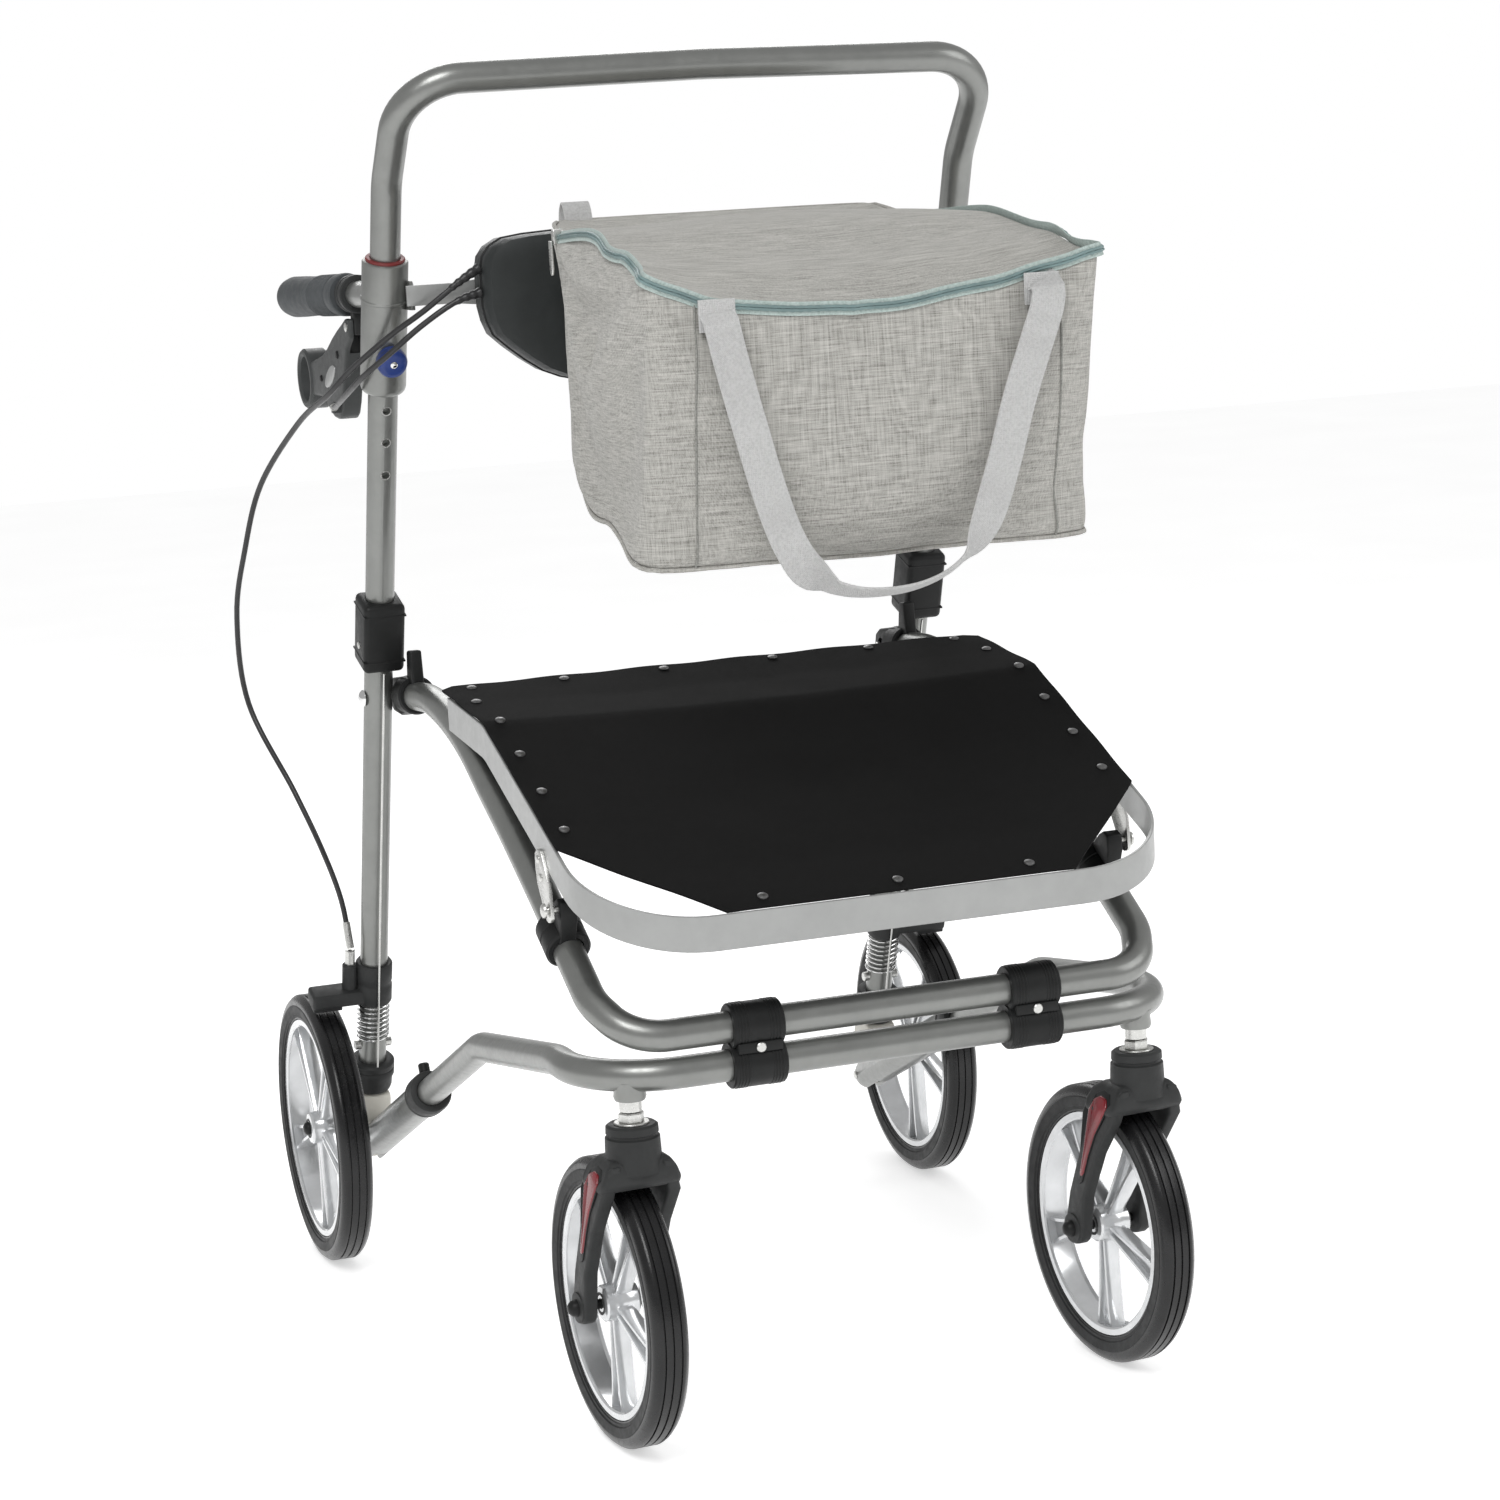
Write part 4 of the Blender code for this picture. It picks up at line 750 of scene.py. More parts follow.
mid = RIM_HEIGHT / 2
line = [(RIM_X, y, rim_top(y) - mid) for y in (REAR_Y, KINK_Y, FRONT_Y)]
path = half_to_loop(bent_path([*line, (0, FRONT_Y, rim_top(FRONT_Y) - mid)], [60, 92], 18))
verts, faces = [], []
band = [(-1.5, -13.4), (-0.9, -14), (0.9, -14), (1.5, -13.4), (1.5, 13.4), (0.9, 14), (-0.9, 14),
    (-1.5, 13.4)]
for i, p in enumerate(path):
    run = run_at(path, i)
    out = Vector((run.y, -run.x, 0)).normalized()
    verts += [p + out * a + Vector((0, 0, b)) for a, b in band]
rim_parts = [from_lists("rim", verts, lofted(len(path), 8), SEAT_PAINT)]
for word, side in SIDES.items():
    y, z = SEAT_HINGE
    plate = prism("plate", [(-8, -6), (-5, -9), (0, -10), (5, -9), (8, -6), (24, 18), (27, 30), (26, 42),
        (20, 46), (10, 46), (3, 36), (-6, 20)], 3, ZINC, 0.5, (side * 249.3, y, z), YZ_PLANE)
    cut(plate, drill(3.3, 20, "X", (side * 250, y, z), None, 24))
    rim_parts.append(plate)
    for dy, dz in ((13, 24), (18, 38)):
        rim_parts.append(turned("rivet", [(0, 1.6), (2.4, 1.3), (3.6, 0.2), (3.6, 0), (0, 0)], ZINC, 24,
            (side * 250.8, y + dy, z + dz), OUT[side]))
fit_fine("seat_rim", "seat", "seat_paint", *rim_parts)


def seat_edge(y):
    """Half width of the seat sheet at y: a cut rear corner, straight sides, and slanting front corners."""
    if y > -18:
        return 236 + (-10 - y) / 8 * 11
    return 247 if y > -325 else 247 - (-325 - y) / 104 * 101


rows_y = [SHEET_REAR - SHEET_LONG * k / SHEET_ROWS for k in range(SHEET_ROWS + 1)]
verts, faces = [], []
for y in rows_y:
    for k in range(SHEET_COLUMNS):
        u = -1 + 2 * k / (SHEET_COLUMNS - 1)
        x = u * seat_edge(y)
        inside = max(0, 1 - u * u) * min(1, (y + 429) / 60) * min(1, (-10 - y) / 60)
        ripple = noise.noise(Vector((x, y, 0)) * 0.02) * 0.7
        edge_wave = (0.5 * sin(x * 0.075) * max(0, 1 - (-10 - y) / 26) + 0.45 * sin(y * 0.09) *
            max(0, abs(u) * 9 - 8))
        verts.append((x, y, rim_top(y) + 1.9 - 5.5 * inside + ripple * inside + edge_wave))
for i in range(SHEET_ROWS):
    for a in range(i * SHEET_COLUMNS, (i + 1) * SHEET_COLUMNS - 1):
        faces.append((a, a + 1, a + SHEET_COLUMNS + 1, a + SHEET_COLUMNS))
sheet = from_lists("seat_sheet", verts, faces, SEAT_CLOTH)
skin = sheet.modifiers.new("skin", "SOLIDIFY")
skin.thickness, skin.offset = 1.6 * M, 0
baked(sheet)
shaded(sheet, 50)
fit(sheet, "seat", "seat_cloth", "seat_board")
rivets = [(x, -22) for x in (-222, -140, -50, 50, 140, 222)]
rivets += [(side * 232, y) for side in (-1, 1) for y in (-70, -139, -190, -245, -300)]
rivets += [(x, -416) for x in (-112, 0, 112)]
heads = []
for x, y in rivets:
    tip = Matrix.Rotation(atan(REAR_SLOPE if y > KINK_Y else FRONT_SLOPE), 3, "X")
    heads.append(turned("head", [(0, 1.5), (2.6, 1.2), (4.2, 0.3), (4.4, -0.6), (3, -0.8), (0, -0.8)],
        RIVET, 24, (x, y, rim_top(y) + 3.1), tip))
fit(joined("seat_rivets", *heads), "seat", "zinc")


# ---- release, brakes ----
def release(word, side):
    """The pull box with two raised bands and a screw, the bare wire, and the lock collar."""
    body = f"release_{word}"
    box = block("box", (37, 37, 65), BLACK_PLASTIC, 5, *up(side, 543.5, 1.5), 4)
    cut(box, drill(TUBE_R + 0.3, 90, "Z", *up(side, 543.5)))
    trims = [block("trim", (37.8, 37.8, 1.6), BLACK_PLASTIC, 0.5, *up(side, s, 1.5)) for s in (522, 566)]
    for trim in trims:
        cut(trim, drill(TUBE_R + 0.3, 90, "Z", *up(side, 543.5)))
    screw = rod("screw", 3.2, 2, ZINC, "X", *up(side, 532, 1.5, -18.6))
    fit_fine(f"release_slider_{word}", body, "black_plastic", box, *trims, screw)
    line = [on_upright(side, 510.5 - k * 41.11, 18.5) for k in range(11)]
    fit(tube(f"release_wire_{word}_fine", line, 1, ZINC, 12), body, "zinc", f"release_wire_{word}")
    collar = turned(f"lock_collar_{word}_fine", [(13, 99), (17.6, 99), (19, 98.3), (20.5, 96.6), (20.5, 92),
        (19.8, 91), (20.5, 90), (20.5, 84), (18.8, 80), (18.5, 72), (17.4, 68.6), (16.5, 67.5), (13, 67.5)],
        DARK_PLASTIC, 56, *up(side, 0))
    fit(collar, body, "dark_plastic", f"lock_collar_{word}")


def brake_shoe(word, side):
    """The sliding carrier, its arm and pad over the tyre, the cable anchor, and the return spring."""
    body = f"brake_{word}"
    ring = turned("ring", [(13, 163), (15.6, 163), (17, 165), (17, 181), (16.4, 182), (16.4, 186),
        (17, 187), (17, 203), (15.6, 205), (13, 205)], DARK_PLASTIC, 48, *up(side, 0))
    arm = block("arm", (58, 24, 14), DARK_PLASTIC, 3, *up(side, 172, 0, -31), 4)
    cut(arm, drill(TUBE_R + 0.3, 90, "Z", *up(side, 185)))
    pad = block("pad", (27, 20, 8), TYRE_SIDE, 1, *up(side, 165.3, 0, -45.5))
    anchor = rod("anchor", 7, 34, DARK_PLASTIC, "Z", *up(side, 188, 0, -23), 32, 1.6)
    barrel = rod("barrel", 4.6, 16, ZINC, "Z", *up(side, 212, 0, -23), 6, 0.8)
    fit_fine(f"brake_shoe_{word}", body, "dark_plastic", ring, arm, pad, anchor, barrel)
    turns, steps = 8, 14
    coil = []
    for k in range(turns * steps + 1):
        a = 2 * pi * k / steps
        at = on_upright(side, 122 + 40 * k / (turns * steps), 0)
        coil.append(at + LEAN_TURN @ Vector((14.6 * cos(a), 14.6 * sin(a), 0)))
    spring = tube(f"brake_spring_{word}", coil, 0.9, CHROME, 8)
    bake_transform(spring)


# ---- handles ----
ARM_BEND, GRIP_TIP = Vector((257, 128, 905)), Vector((276, 300, 900))
GRIP_START = ARM_BEND.lerp(GRIP_TIP, 0.134)


def sleeve(word, side):
    """The welded sleeve with its arm, lever bracket, strap tab and the red bushing at its top."""
    low, high = 770, 889
    ring = turned("sleeve", [(13.1, high - 2), (17.4, high - 2), (18.9, high - 2.6), (19.5, high - 4),
        (19.5, low + 6), (18.8, low + 3), (17.4, low + 1), (15.5, low), (13.1, low)], FRAME_PAINT, 56,
        *up(side, 0))
    bush = turned("bush", [(13.1, high), (15.8, high), (16.8, high - 0.8), (16.8, high - 3),
        (13.1, high - 3)], RED_PLASTIC, 48, *up(side, 0))
    end = GRIP_START.lerp(GRIP_TIP, 0.9)
    arm = tube("arm", [flip(p, side) for p in bent_path([(257, 50, 905), ARM_BEND, end], [60], 8)], 11.5,
        FRAME_PAINT, 36)
    start = Vector((side * UPRIGHT_X, 22, 905))
    root = tube("root", [start, Vector((side * UPRIGHT_X, 52, 905))], 11.5, FRAME_PAINT, 36)
    cut(root, drill(TUBE_R + 0.3, 160, "Z", on_upright(side, (low + high) / 2 + 20), LEAN_TURN))
    clamp = turned("clamp", mirrored([(11.6, -10), (15.4, -10), (16.5, -9), (16.5, -2), (16, -1.4)]),
        DARK_PLASTIC, 48, (side * UPRIGHT_X, 136, 905), LAY_Y)
    y, z = LEVER_PIVOT
    ear = block("ear", (8, 12, 26), DARK_PLASTIC, 1.2, (side * UPRIGHT_X, y - 2, z + 6))
    pin = turned("pin", mirrored([(0, 11), (2.6, 10.8), (4, 10)]), ZINC, 28, (side * UPRIGHT_X, y, z),
        LAY_X)
    tab = prism("tab", [(-11, -12), (11, -12), (11, 8), (7, 12), (-7, 12), (-11, 8)], 3.4, FRAME_PAINT, 0.5,
        (side * 240.2, 20.5, 905), YZ_PLANE)
    weld = turned("weld", [(19.2, 1.6), (20.4, 0.6), (20.5, -0.6), (19.2, -1.6)], FRAME_PAINT, 48,
        *up(side, 853))
    boss = rod("boss", 8, 5, FRAME_PAINT, "Y", *up(side, 806, 18.6), 36, 1)
    cut(boss, drill(4.3, 40, "Y", *up(side, 806, 26), 28))
    fit_fine(f"handle_sleeve_{word}", "handles", "frame_paint", ring, bush, arm, root, clamp, ear, pin, tab,
        weld, boss)
    knob = turned("knob", [(0, 33), (7.5, 33), (9.5, 32.6), (11.8, 31.2), (13, 28.4), (13, 22.6),
        (12.2, 21.2), (11, 20.9), (4, 20.9), (4, 13.6), (0, 13.6)], BLUE_PLASTIC, 48)
    dot = turned("dot", [(0, 34.2), (2.2, 34), (3, 33.4), (3, 32.6), (0, 32.6)], CHROME, 24)
    fit(moved(joined(f"height_knob_{word}_fine", knob, dot), on_upright(side, 806),
        LEAN_TURN @ Matrix.Rotation(pi / 2, 3, "X")), f"knob_{word}", "blue_plastic", f"height_knob_{word}")


def grip(word, side):
    """Rubber grip: flared collar, a band of fine ribs, a swell under the palm, and a domed end."""
    length = (GRIP_TIP - GRIP_START).length
    prof = [(0, length), (5, length - 0.7), (10, length - 2.6), (14, length - 6), (16.8, length - 11.5),
        (18, length - 19), (17.9, length - 40), (17.2, length - 70), (17.3, 62)]
    at = 60
    while at > 18:
        prof += [(17.5, at), (18.1, at - 0.5), (18.1, at - 1.3), (17.5, at - 1.8)]
        at -= 2.4
    prof += [(17.4, 15), (18.4, 12), (18.6, 4), (18.2, 1), (17.2, 0), (11.8, 0), (11.8, 40), (0, 40)]
    a, b = flip(GRIP_START, side), flip(GRIP_TIP, side)
    fit(turned(f"grip_{word}_fine", prof, GRIP_RUBBER, 64, a, (b - a).to_track_quat("Z", "Y").to_matrix()),
        "handles", "grip_rubber", f"grip_{word}")


def lever(word, side):
    """The lever: forked root, ribbed blade with an inset oval, and the hand loop with its screw."""
    outline = [(133, 884), (149, 884), (160, 880), (180, 873.5), (200, 866), (220, 857), (240, 850),
        (264, 845.5), (288, 842), (288, 812), (266, 812.5), (246, 812), (234, 807), (222, 800), (211, 796),
        (200, 795), (191, 795.5), (184, 799), (176, 809), (168, 824), (150, 858), (134, 868)]
    blade = prism("blade", outline, 18, LEVER_PLASTIC, 3, (side * UPRIGHT_X, 0, 0), YZ_PLANE, 4)
    y, z = LEVER_PIVOT
    cut(blade, drill(4.3, 40, "X", (side * UPRIGHT_X, y, z), None, 28),
        block("gap", (9.6, 40, 46), None, 0, (side * UPRIGHT_X, y - 6, z)),
        drill(20, 60, "X", (side * UPRIGHT_X, 308, 826), None, 64))
    ring = turned("ring", mirrored([(20, 8.6), (22, 10.4), (25.2, 10.4), (27, 8.4)]), LEVER_PLASTIC, 64,
        (side * UPRIGHT_X, 308, 826), LAY_X)
    tilt = YZ_PLANE @ Matrix.Rotation(-0.4, 3, "Z")
    bits = [ring, blade]
    for hand in (-1, 1):
        x = side * UPRIGHT_X + hand * 8.6
        bits.append(prism("oval", round_points(36, 21, 7), 2.2, SEAT_PAINT, 0.7,
            (side * UPRIGHT_X + hand * 8.9, 212, 832), tilt))
        bits.append(rod("button", 3.6, 4, BLACK_PLASTIC, "X", (x, 181, 852), None, 28, 0.9))
        bits.append(rod("button", 3, 4, BLACK_PLASTIC, "X", (x, 246, 829), None, 28, 0.9))
    bits.append(rod("screw", 4.2, 4, CHROME, "X", (side * UPRIGHT_X + side * 8.6, 197, 806), None, 28, 0.9))
    bits.append(rod("nipple", 3.4, 9, ZINC, "Y", (side * 270, 190, 806), None, 24, 0.8))
    bits.append(block("stop", (14, 8, 10), LEVER_PLASTIC, 1.4, (side * 266, 188, 806)))
    fit_fine(f"brake_lever_{word}", f"lever_{word}", "dark_plastic", *bits)


def back_bar():
    """The flat bar, narrower at its ends, and the moulded cover with its shallow crease."""
    outline = mirrored([(-246, -8.5), (-205, -8.5), (-180, -11), (180, -11), (205, -8.5), (246, -8.5)])
    fit(prism("back_bar", outline, 3, SEAT_PAINT, 0.4, (0, 7.9, 905), XZ_PLANE), "handles", "seat_paint",
        "cross_strap")
    half_line = [(0, 952), (60, 952), (122, 952), (150, 950.4), (168, 948), (179, 942), (185, 934),
        (187, 924), (187, 908), (187, 893), (184.5, 881), (180, 870), (168, 859), (154, 848), (139, 838),
        (124, 832), (108, 828.4), (60, 826.6), (0, 826)]
    ring = half_line + [(-x, z) for x, z in reversed(half_line[1:-1])]
    rows = [(1, 6), (1, -18), (0.995, -24), (0.975, -29.5), (0.93, -32), (0.8, -33), (0.5, -33.6),
        (0.2, -33.8)]
    middle_z, crease_z = 889, 905
    verts, n = [], len(ring)
    for scale, y in rows:
        for x, z in ring:
            zz = middle_z + (z - middle_z) * scale
            crease = 1.6 * max(0, 1 - abs(zz - (crease_z - 0.0012 * x * x * 0.2)) /
                7) if scale < 0.98 else 0
            verts.append((x * scale, y + crease, zz))
    verts += [(0, -33.8, middle_z), (0, 6, middle_z)]
    last = (len(rows) - 1) * n
    faces = lofted(len(rows), n)[:-2]
    faces += [(last + k, last + (k + 1) % n, len(verts) - 2) for k in range(n)]
    faces += [(k, (k + 1) % n, len(verts) - 1) for k in range(n)]
    parts = [from_lists("cover", verts, faces, COVER_PLASTIC),
        tube("lip", [Vector((x, -14, z)) for x, z in ring], 1.3, BLACK_PLASTIC, 10, closed=True)]
    for prof, mat, sides, y in (([(0, 1.6), (3, 1.4), (4.2, 0.4), (4.2, -1), (0, -1)], ZINC, 24, 6.6),
            ([(4.6, 0.6), (7, 0.8), (7.4, 0), (7.4, -1), (4.6, -1)], COVER_PLASTIC, 28, 6.2)):
        parts += [turned("screw", prof, mat, sides, (x, y, z), LAY_Y) for x in (-150, 150) for z in
            (925, 885)]
    fit_fine("cable_cover", "handles", "black_plastic", *parts)


# ---- bag ----
NX, NY, NZ = 36, 26, 22
BAG_MIDDLE, ZIP_MIDDLE = Vector((0, -240, 835)), Vector((0, -240, 880))
BAG_REAR = -64
ZIP_DIP = [(0, 0), (0.06, 12), (0.16, 25), (0.35, 30), (0.52, 31), (0.73, 21), (0.87, 10), (1, 0)]
SIM_FRAMES, SIM_CAP = 24, 0.014


def stepped(table, t):
    """A smooth reading of a table of (position, value)."""
    for (a, va), (b, vb) in zip(table, table[1:]):
        if t <= b:
            s = (t - a) / (b - a)
            s = s * s * (3 - 2 * s)
            return va + (vb - va) * s
    return table[-1][1]


def bag_point(i, j, k):
    """A point of the bag's skin: i across, j from rear to front, k upward, each on the outside of a box."""
    u, v, w = i / NX, j / NY, k / NZ
    low_x = stepped([(0, 139), (0.52, 168), (1, 190)], v)
    high_x = stepped([(0, 150), (0.52, 176), (1, 189)], v)
    low_z = stepped([(0, 757), (0.52, 727), (1, 703)], v)
    high_z = stepped([(0, 962), (0.52, 966), (0.8, 952), (1, 926)], v)
    half_w = low_x + (high_x - low_x) * w
    x = (2 * u - 1) * half_w
    depth = w * 373 + (1 - w) * 345
    y = BAG_REAR - depth * v
    z = low_z + (high_z - low_z) * w
    near = max(0, (v - 0.35) / 0.65)
    z -= stepped(ZIP_DIP, u) * w ** 3 * near * near
    z += 9 * (1 - (2 * u - 1) ** 2) * w * sin(pi * min(1, v / 0.75)) * (1 if k == NZ else w ** 4)
    if i in (0, NX):
        fold = exp(-((w - 0.6) / 0.2) ** 2) * sin(pi * min(1, v * 1.02)) ** 0.6
        x -= (15 if i else -38) * fold
    if j == NY:
        y += 5 * sin(pi * u) * (w - 0.55) * 2
    if k == 0:
        z += -3.5 * sin(pi * u) * sin(pi * v)
    rounding = 42 - 36 * w ** 4 if v > 0.5 else 30 + 16 * w
    inner_x = max(-half_w + rounding, min(half_w - rounding, x))
    inner_y = max(BAG_REAR - depth + rounding, min(BAG_REAR - rounding, y))
    off = Vector((x - inner_x, y - inner_y, 0))
    if off.length > 1e-6:
        reach = rounding if 0 < k < NZ else min(off.length, rounding, max(abs(off.x), abs(off.y)))
        off = off.normalized() * reach
        x, y = inner_x + off.x, inner_y + off.y
    wrinkle = noise.noise(Vector((x, y, z)) * 0.011) * 3.2
    wrinkle += noise.noise(Vector((x * 1.3, y, z * 0.7)) * 0.03) * 1.2
    away = (Vector((x, y, z)) - BAG_MIDDLE).normalized()
    calm = 1 - 0.75 * max(0, (w - 0.8) / 0.2) if k < NZ else 0.25 + 0.75 * sin(pi * u) * sin(pi * v)
    return Vector((x, y, z)) + away * wrinkle * calm


def bag_shell():
    index, verts, faces = {}, [], []

    def corner_of(i, j, k):
        if (i, j, k) not in index:
            index[i, j, k] = len(verts)
            verts.append(bag_point(i, j, k))
        return index[i, j, k]

    def quad(*cells):
        faces.append(tuple(corner_of(*c) for c in cells))
    for i in range(NX):
        for j in range(NY):
            quad((i, j, 0), (i, j + 1, 0), (i + 1, j + 1, 0), (i + 1, j, 0))
            quad((i, j, NZ), (i + 1, j, NZ), (i + 1, j + 1, NZ), (i, j + 1, NZ))
        for k in range(NZ):
            quad((i, 0, k), (i + 1, 0, k), (i + 1, 0, k + 1), (i, 0, k + 1))
            quad((i, NY, k), (i, NY, k + 1), (i + 1, NY, k + 1), (i + 1, NY, k))
    for j in range(NY):
        for k in range(NZ):
            quad((0, j, k), (0, j, k + 1), (0, j + 1, k + 1), (0, j + 1, k))
            quad((NX, j, k), (NX, j + 1, k), (NX, j + 1, k + 1), (NX, j, k + 1))
    return index, from_lists("bag_fabric", verts, faces, BAG_CLOTH)


def relaxed(obj, *factors):
    """Smooth a mesh's vertices once for each factor."""
    bm = bmesh.new()
    bm.from_mesh(obj.data)
    for factor in factors:
        bmesh.ops.smooth_vert(bm, verts=bm.verts, factor=factor, use_axis_x=True, use_axis_y=True,
            use_axis_z=True)
    bm.to_mesh(obj.data)
    bm.free()


def draped(obj, index):
    """Run the cloth for a short while, held at the rear and the edges, and cap how far it moves."""
    rest = [v.co.copy() for v in obj.data.vertices]
    hold = obj.vertex_groups.new(name="hold")
    for (i, j, k), v in index.items():
        edge_x, front, top = i in (0, NX), j == NY, k == NZ
        grip_of = 1 if j <= 1 else 0
        if front and top and (i < 2 or i > NX - 2):
            grip_of = 1
        elif k == 0:
            grip_of = 0.75
        elif (front and edge_x) or (front and top):
            grip_of = 0.55
        hold.add([v], grip_of, "REPLACE")
    scene = bpy.context.scene
    cloth = obj.modifiers.new("cloth", "CLOTH")
    settings, cache = cloth.settings, cloth.point_cache
    settings.quality = 5
    settings.mass = 0.4
    settings.tension_stiffness = settings.compression_stiffness = 12.0
    settings.bending_stiffness = 0.35
    settings.vertex_group_mass = "hold"
    settings.shrink_min = -0.008
    settings.effector_weights.gravity = 0.35
    settings.use_pressure = True
    settings.uniform_pressure_force = 0.1
    scene.frame_start, scene.frame_end = 1, SIM_FRAMES
    cache.frame_start, cache.frame_end = 1, SIM_FRAMES
    for f in range(1, SIM_FRAMES + 1):
        scene.frame_set(f)
    baked(obj)
    scene.frame_set(1)
    relaxed(obj, 0.4)
    for v, before in zip(obj.data.vertices, rest):
        step = v.co - before
        if step.length > SIM_CAP:
            v.co = before + step.normalized() * SIM_CAP


index, bag = bag_shell()
relaxed(bag, 0.5, 0.4)
draped(bag, index)
limit = CAD_BOX[0].y - 0.006
for v in bag.data.vertices:
    v.co.y = min(max(v.co.y, limit), -0.0385)
skin = {key: bag.data.vertices[v].co.copy() / M for key, v in index.items()}
sub = bag.modifiers.new("finer", "SUBSURF")
sub.levels = sub.render_levels = 1
baked(bag)
shaded(bag, 60)
fit(bag, "handles", "bag_cloth", "bag")


def proud(p, by):
    """A point of the bag moved outward by some mm."""
    return p + (p - BAG_MIDDLE).normalized() * by


def fabric_line(name, keys, radius, mat, by):
    pts = smooth_path([proud(skin[key], by) for key in keys], 8)
    return tube(name, pts, radius, mat, 12)


def round_front(first, k):
    """Skin keys at height k: forward along the left, across the front, back along the right."""
    return ([(0, j, k) for j in range(first, NY)] + [(i, NY, k) for i in range(NX + 1)] +
        [(NX, j, k) for j in range(NY - 1, first - 1, -1)])


zip_line = smooth_path([proud(skin[key], 1.5) for key in round_front(5, NZ)], 4)


def ribbon(name, line, width, thick, mat, lift, facing):
    """A flat strip along a line, lying across the directions in facing."""
    verts, w = [], width / 2
    for i, p in enumerate(line):
        run = run_at(line, i)
        out = facing(p, i / (len(line) - 1))
        out = (out - run * out.dot(run)).normalized()
        side = run.cross(out)
        for a, b in ((-w, 0), (-w * 0.96, thick), (w * 0.96, thick), (w, 0), (w * 0.9, -thick * 0.4),
                (-w * 0.9, -thick * 0.4)):
            verts.append(p + side * a + out * (b + lift))
    return from_lists(name, verts, lofted(len(line), 6), mat)


def outward(p, t):
    return (p - ZIP_MIDDLE).normalized()


fit(ribbon("bag_zip_tape", zip_line, 10.5, 0.6, ZIP_TAPE, 0.1, outward), "handles", "bag_cloth")
teeth = []
for hand in (-1, 1):
    pts = []
    for i, p in enumerate(zip_line):
        out, run = outward(p, 0), run_at(zip_line, i)
        out = (out - run * out.dot(run)).normalized()
        pts.append(p + out * 1.6 + run.cross(out) * hand * 1.1)
    radii = [1 + 0.34 * (i % 2) for i in range(len(pts))]
    teeth.append(tube("teeth", pts, 1.2, ZIP_COIL, 8, radii))
a = zip_line[6] + outward(zip_line[6], 0) * 2.5
slider = block("slider", (9, 6, 12), ZINC, 1.4, a)
pull = prism("pull", [(-3.5, 0), (3.5, 0), (4.2, -22), (2, -27), (-2, -27), (-4.2, -22)], 1.6, ZINC, 0.5,
    a + Vector((-6, 0, -3)), YZ_PLANE)
fit(joined("bag_zip_teeth", *teeth, slider, pull), "handles", "zinc")

seams = [fabric_line("seam", [(i, j, k) for k in range(NZ + 1)], 0.9, SEAM_THREAD, 0.1) for j in (NY, 0) for
    i in (4, NX - 4)]
rear_keys = [(0, j, NZ) for j in range(5, -1, -1)] + [(i, 0, NZ) for i in range(NX + 1)]
rear_keys += [(NX, j, NZ) for j in range(6)]
piping = [fabric_line("piping", round_front(0, 0), 1.8, BAG_CLOTH, 0.4),
    fabric_line("piping", rear_keys, 1.7, BAG_CLOTH, 0.4)]
fit(joined("bag_seams", *seams, *piping), "handles", "bag_cloth")


def webbing():
    """The carrying handle hanging in front: two legs from the front panel that twist into a low arc."""
    top_z, front = 897, -439
    pts = [(-131, front + 6, top_z), (-130, front - 3.5, top_z - 8), (-124, front - 4.5, 860),
        (-112, front - 5, 810), (-99, front - 5.5, 760), (-86, front - 6.5, 722), (-70, front - 7, 698),
        (-44, front - 6, 684), (-12, front - 5, 679.5), (22, front - 5, 683), (50, front - 6, 696),
        (72, front - 6.5, 722), (90, front - 5.5, 765), (106, front - 5, 815), (122, front - 6, 858),
        (131, front - 8, 884), (133, front - 6, 898), (131, front + 6, 903)]
    line = smooth_path(pts, 6)

    def facing(p, t):
        low = max(0, 1 - abs(p.x) / 82) * (1 if p.z < 745 else 0)
        turn = radians(72) * min(1, low * 3.2)
        return Vector((0, -cos(turn), -sin(turn)))
    parts = [ribbon("strap", line, 28, 1.5, WEBBING, 0, facing)]
    parts += [block("patch", (29, 24, 1.6), WEBBING, 0.5, (x, front + 1, z), XZ_PLANE) for x,
        z in ((-131, 893), (131, 897))]
    tab_line = smooth_path([(-118, -76, 955), (-118, -72, 968), (-118, -66, 974), (-118, -60, 968),
        (-118, -57, 955)], 2)
    parts.append(ribbon("tab", tab_line, 24, 1.3, WEBBING, 0, lambda p,
        t: Vector((0, -cos(pi * t), 0.2 + sin(pi * t)))))
    fit(joined("bag_webbing", *parts), "handles", "bag_cloth")


webbing()


# ---- cables ----
BRAKE_CABLE = [(188.6, -15, 925), (208, -17, 914), (236, -9, 893), (263, 8, 873), (288, 46, 846),
    (302, 79, 824), (312, 154, 797), (330, 240, 740), (340, 283, 679), (345, 318, 615), (337, 336, 532),
    (313, 284, 455), (296, 262, 401), (283, 257, 353), (280, 248.2, 309)]
LEVER_CABLE = [(188.6, -15, 905), (212, -16, 898), (240, -8, 880), (264, 2, 860), (282, 32, 840),
    (286, 80, 823), (280, 140, 811), (270, 192, 806)]


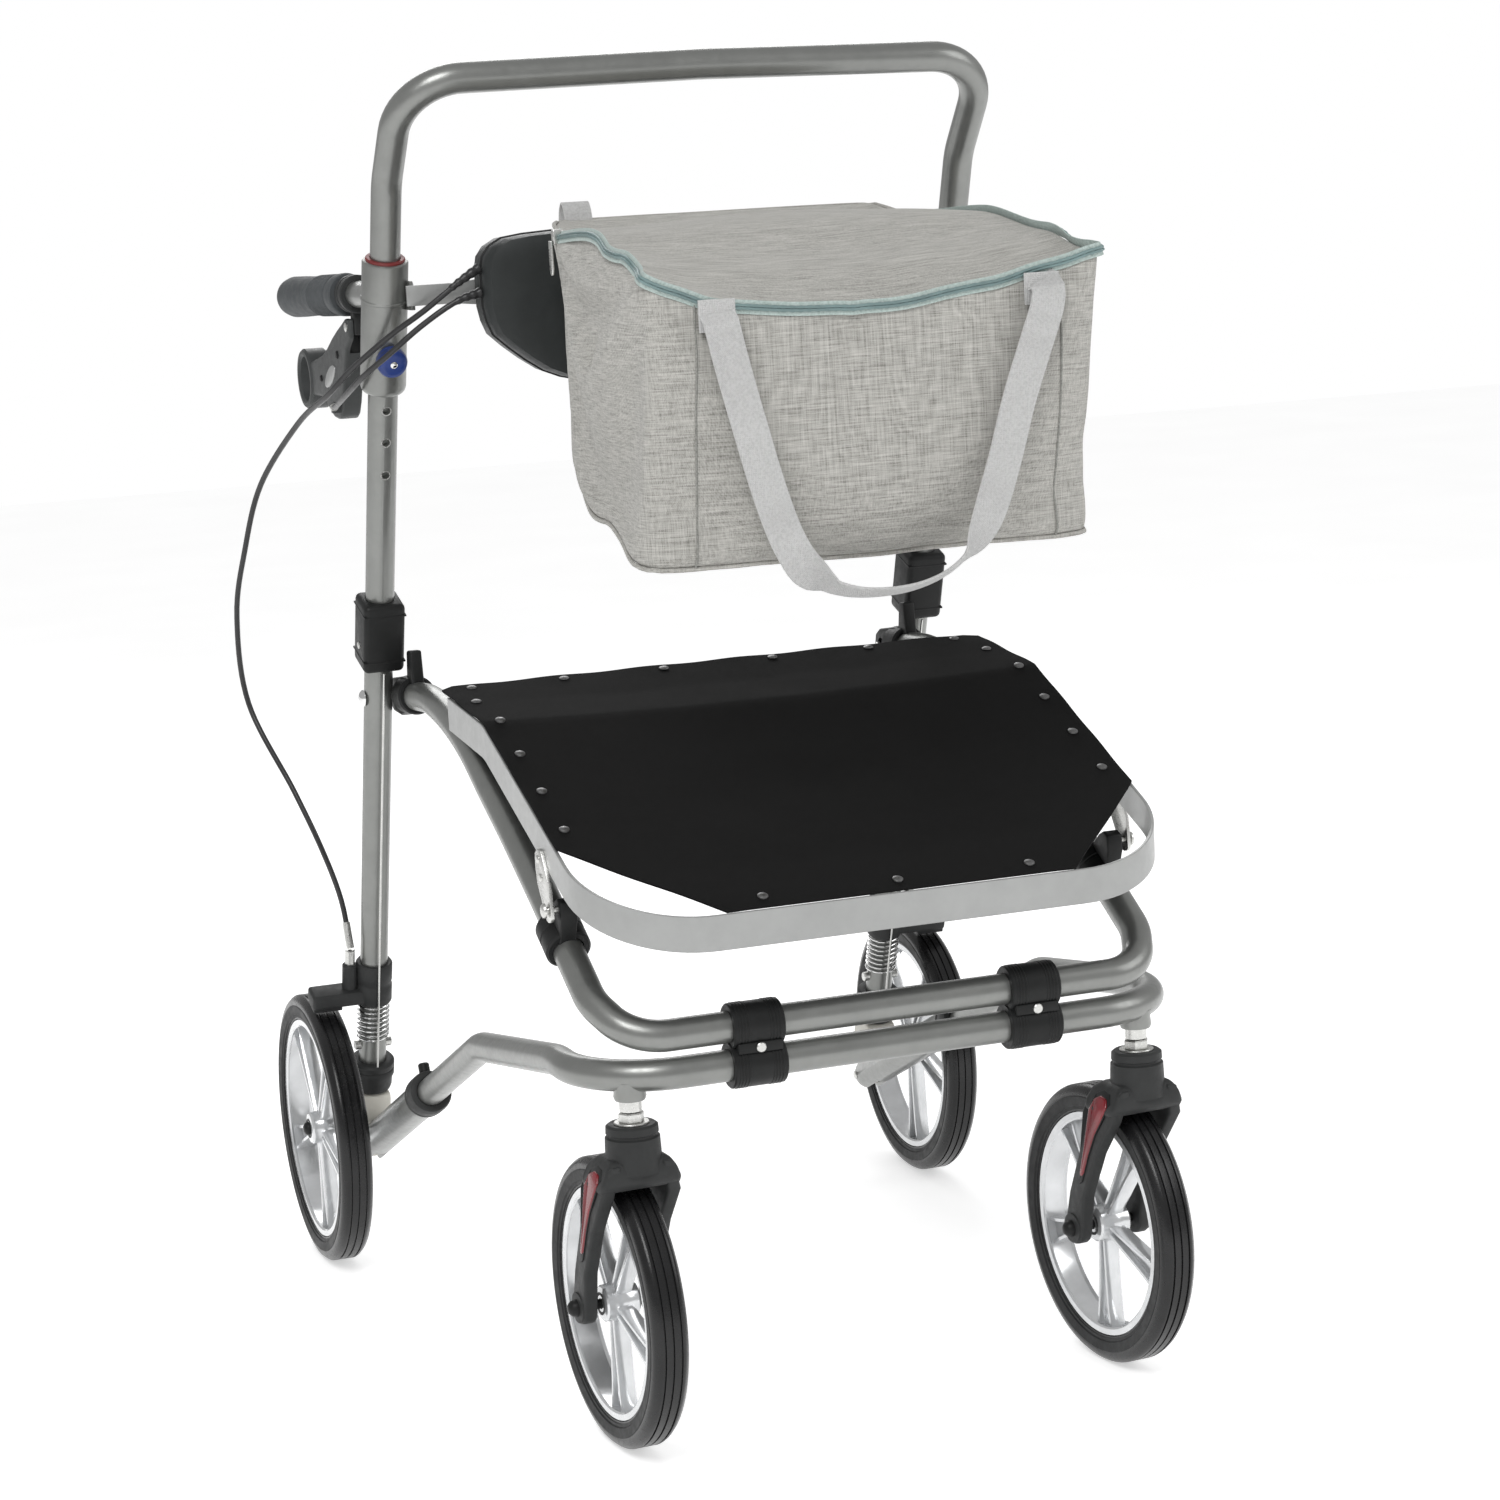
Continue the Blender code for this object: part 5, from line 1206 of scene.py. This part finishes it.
def cables(word, side):
    """The jacketed cables with a ribbed strain relief at the cover and a metal ferrule at the far end."""
    line = [flip(p, side) for p in smooth_path(BRAKE_CABLE, 9)]
    long_one = tube(f"brake_cable_{word}_fine", line, 2.5, CABLE_JACKET, 16)
    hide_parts(f"brake_cable_{word}")
    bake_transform(long_one)
    short = [flip(p, side) for p in smooth_path(LEVER_CABLE, 9)]
    short_one = tube(f"lever_cable_{word}_fine", short, 2.5, CABLE_JACKET, 16)
    fit(short_one, "handles", "cable_jacket", f"lever_cable_{word}")
    ends = []
    for run in (line, short):
        sub_line = smooth_path([run[0] + (run[1] - run[0]) * 0.02, *run[1:4]], 1.6)
        last = len(sub_line) - 1
        radii = [4.6 - 1.6 * (i / last) - 0.5 * ((i // 2) % 2) for i in range(last + 1)]
        ends.append(tube("relief", sub_line, 4, CABLE_JACKET, 18, radii))
    ferrule_at = [flip(p, side) for p in smooth_path(LEVER_CABLE, 3)][-6:]
    ends.append(tube("ferrule", ferrule_at, 3.5, ZINC, 20))
    fit(joined(f"cable_ends_{word}", *ends), "handles", "cable_jacket")
    low_end = [flip(p, side) for p in smooth_path(BRAKE_CABLE, 4)][-7:]
    fit(tube(f"cable_ferrule_{word}", low_end, 3.6, ZINC, 20), "uprights", "zinc")


for word, side in SIDES.items():
    for build in (clip, caster, pivot_and_hook, seat_clamp, strut, axle_block, rear_wheel, release,
            brake_shoe, sleeve, grip, lever, cables):
        build(word, side)
back_bar()


# ---- floor and light ----
floor_mesh = bpy.data.meshes.new("floor")
floor_mesh.from_pydata([(-9, -9, -0.0006), (9, -9, -0.0006), (9, 9, -0.0006), (-9, 9, -0.0006)], [],
    [(0, 1, 2, 3)])
floor = new_object("floor", floor_mesh, None)
ground = Nodes("floor_paper", 0.75, Emission_Color=(1.0, 1.0, 1.0, 1.0), Emission_Strength=0.54)
ground.colour(ground.ramp(ground.noise(3, 2), [(0.3, (0.86, 0.86, 0.86)), (0.7, (0.9, 0.9, 0.9))]))
floor_mesh.materials.append(ground.mat)

world = bpy.data.worlds.new("studio")
bpy.context.scene.world = world
world.use_nodes = True
sky = world.node_tree.nodes["Background"]
paper, seen, either = (world.node_tree.nodes.new("ShaderNode" + kind) for kind in
    ("Background", "LightPath", "MixShader"))
for shade, strength in ((sky, 0.48), (paper, 1.0)):
    shade.inputs["Color"].default_value = (1.0, 1.0, 1.0, 1.0)
    shade.inputs["Strength"].default_value = strength
for start, end in ((seen.outputs["Is Camera Ray"], either.inputs["Fac"]),
        (sky.outputs["Background"], either.inputs[1]), (paper.outputs["Background"], either.inputs[2]),
        (either.outputs["Shader"], world.node_tree.nodes["World Output"].inputs["Surface"])):
    world.node_tree.links.new(start, end)


def lamp(name, at, target, size, power):
    data = bpy.data.lights.new(name, "AREA")
    data.size, data.energy = size, power
    obj = bpy.data.objects.new(name, data)
    bpy.context.scene.collection.objects.link(obj)
    obj.location = at
    obj.rotation_euler = (Vector(target) - Vector(at)).to_track_quat("-Z", "Y").to_euler()


lamp("key", (-1.6, -2.4, 3.2), (0, 0, 0.5), 1.6, 66.0)
lamp("fill", (2.6, -1.6, 2.0), (0, 0, 0.5), 1.8, 24.0)
lamp("rim", (0.6, 3.0, 2.6), (0, 0, 0.6), 2.0, 34.0)
bpy.context.scene.view_settings.view_transform = "Standard"

bpy.context.view_layer.update()
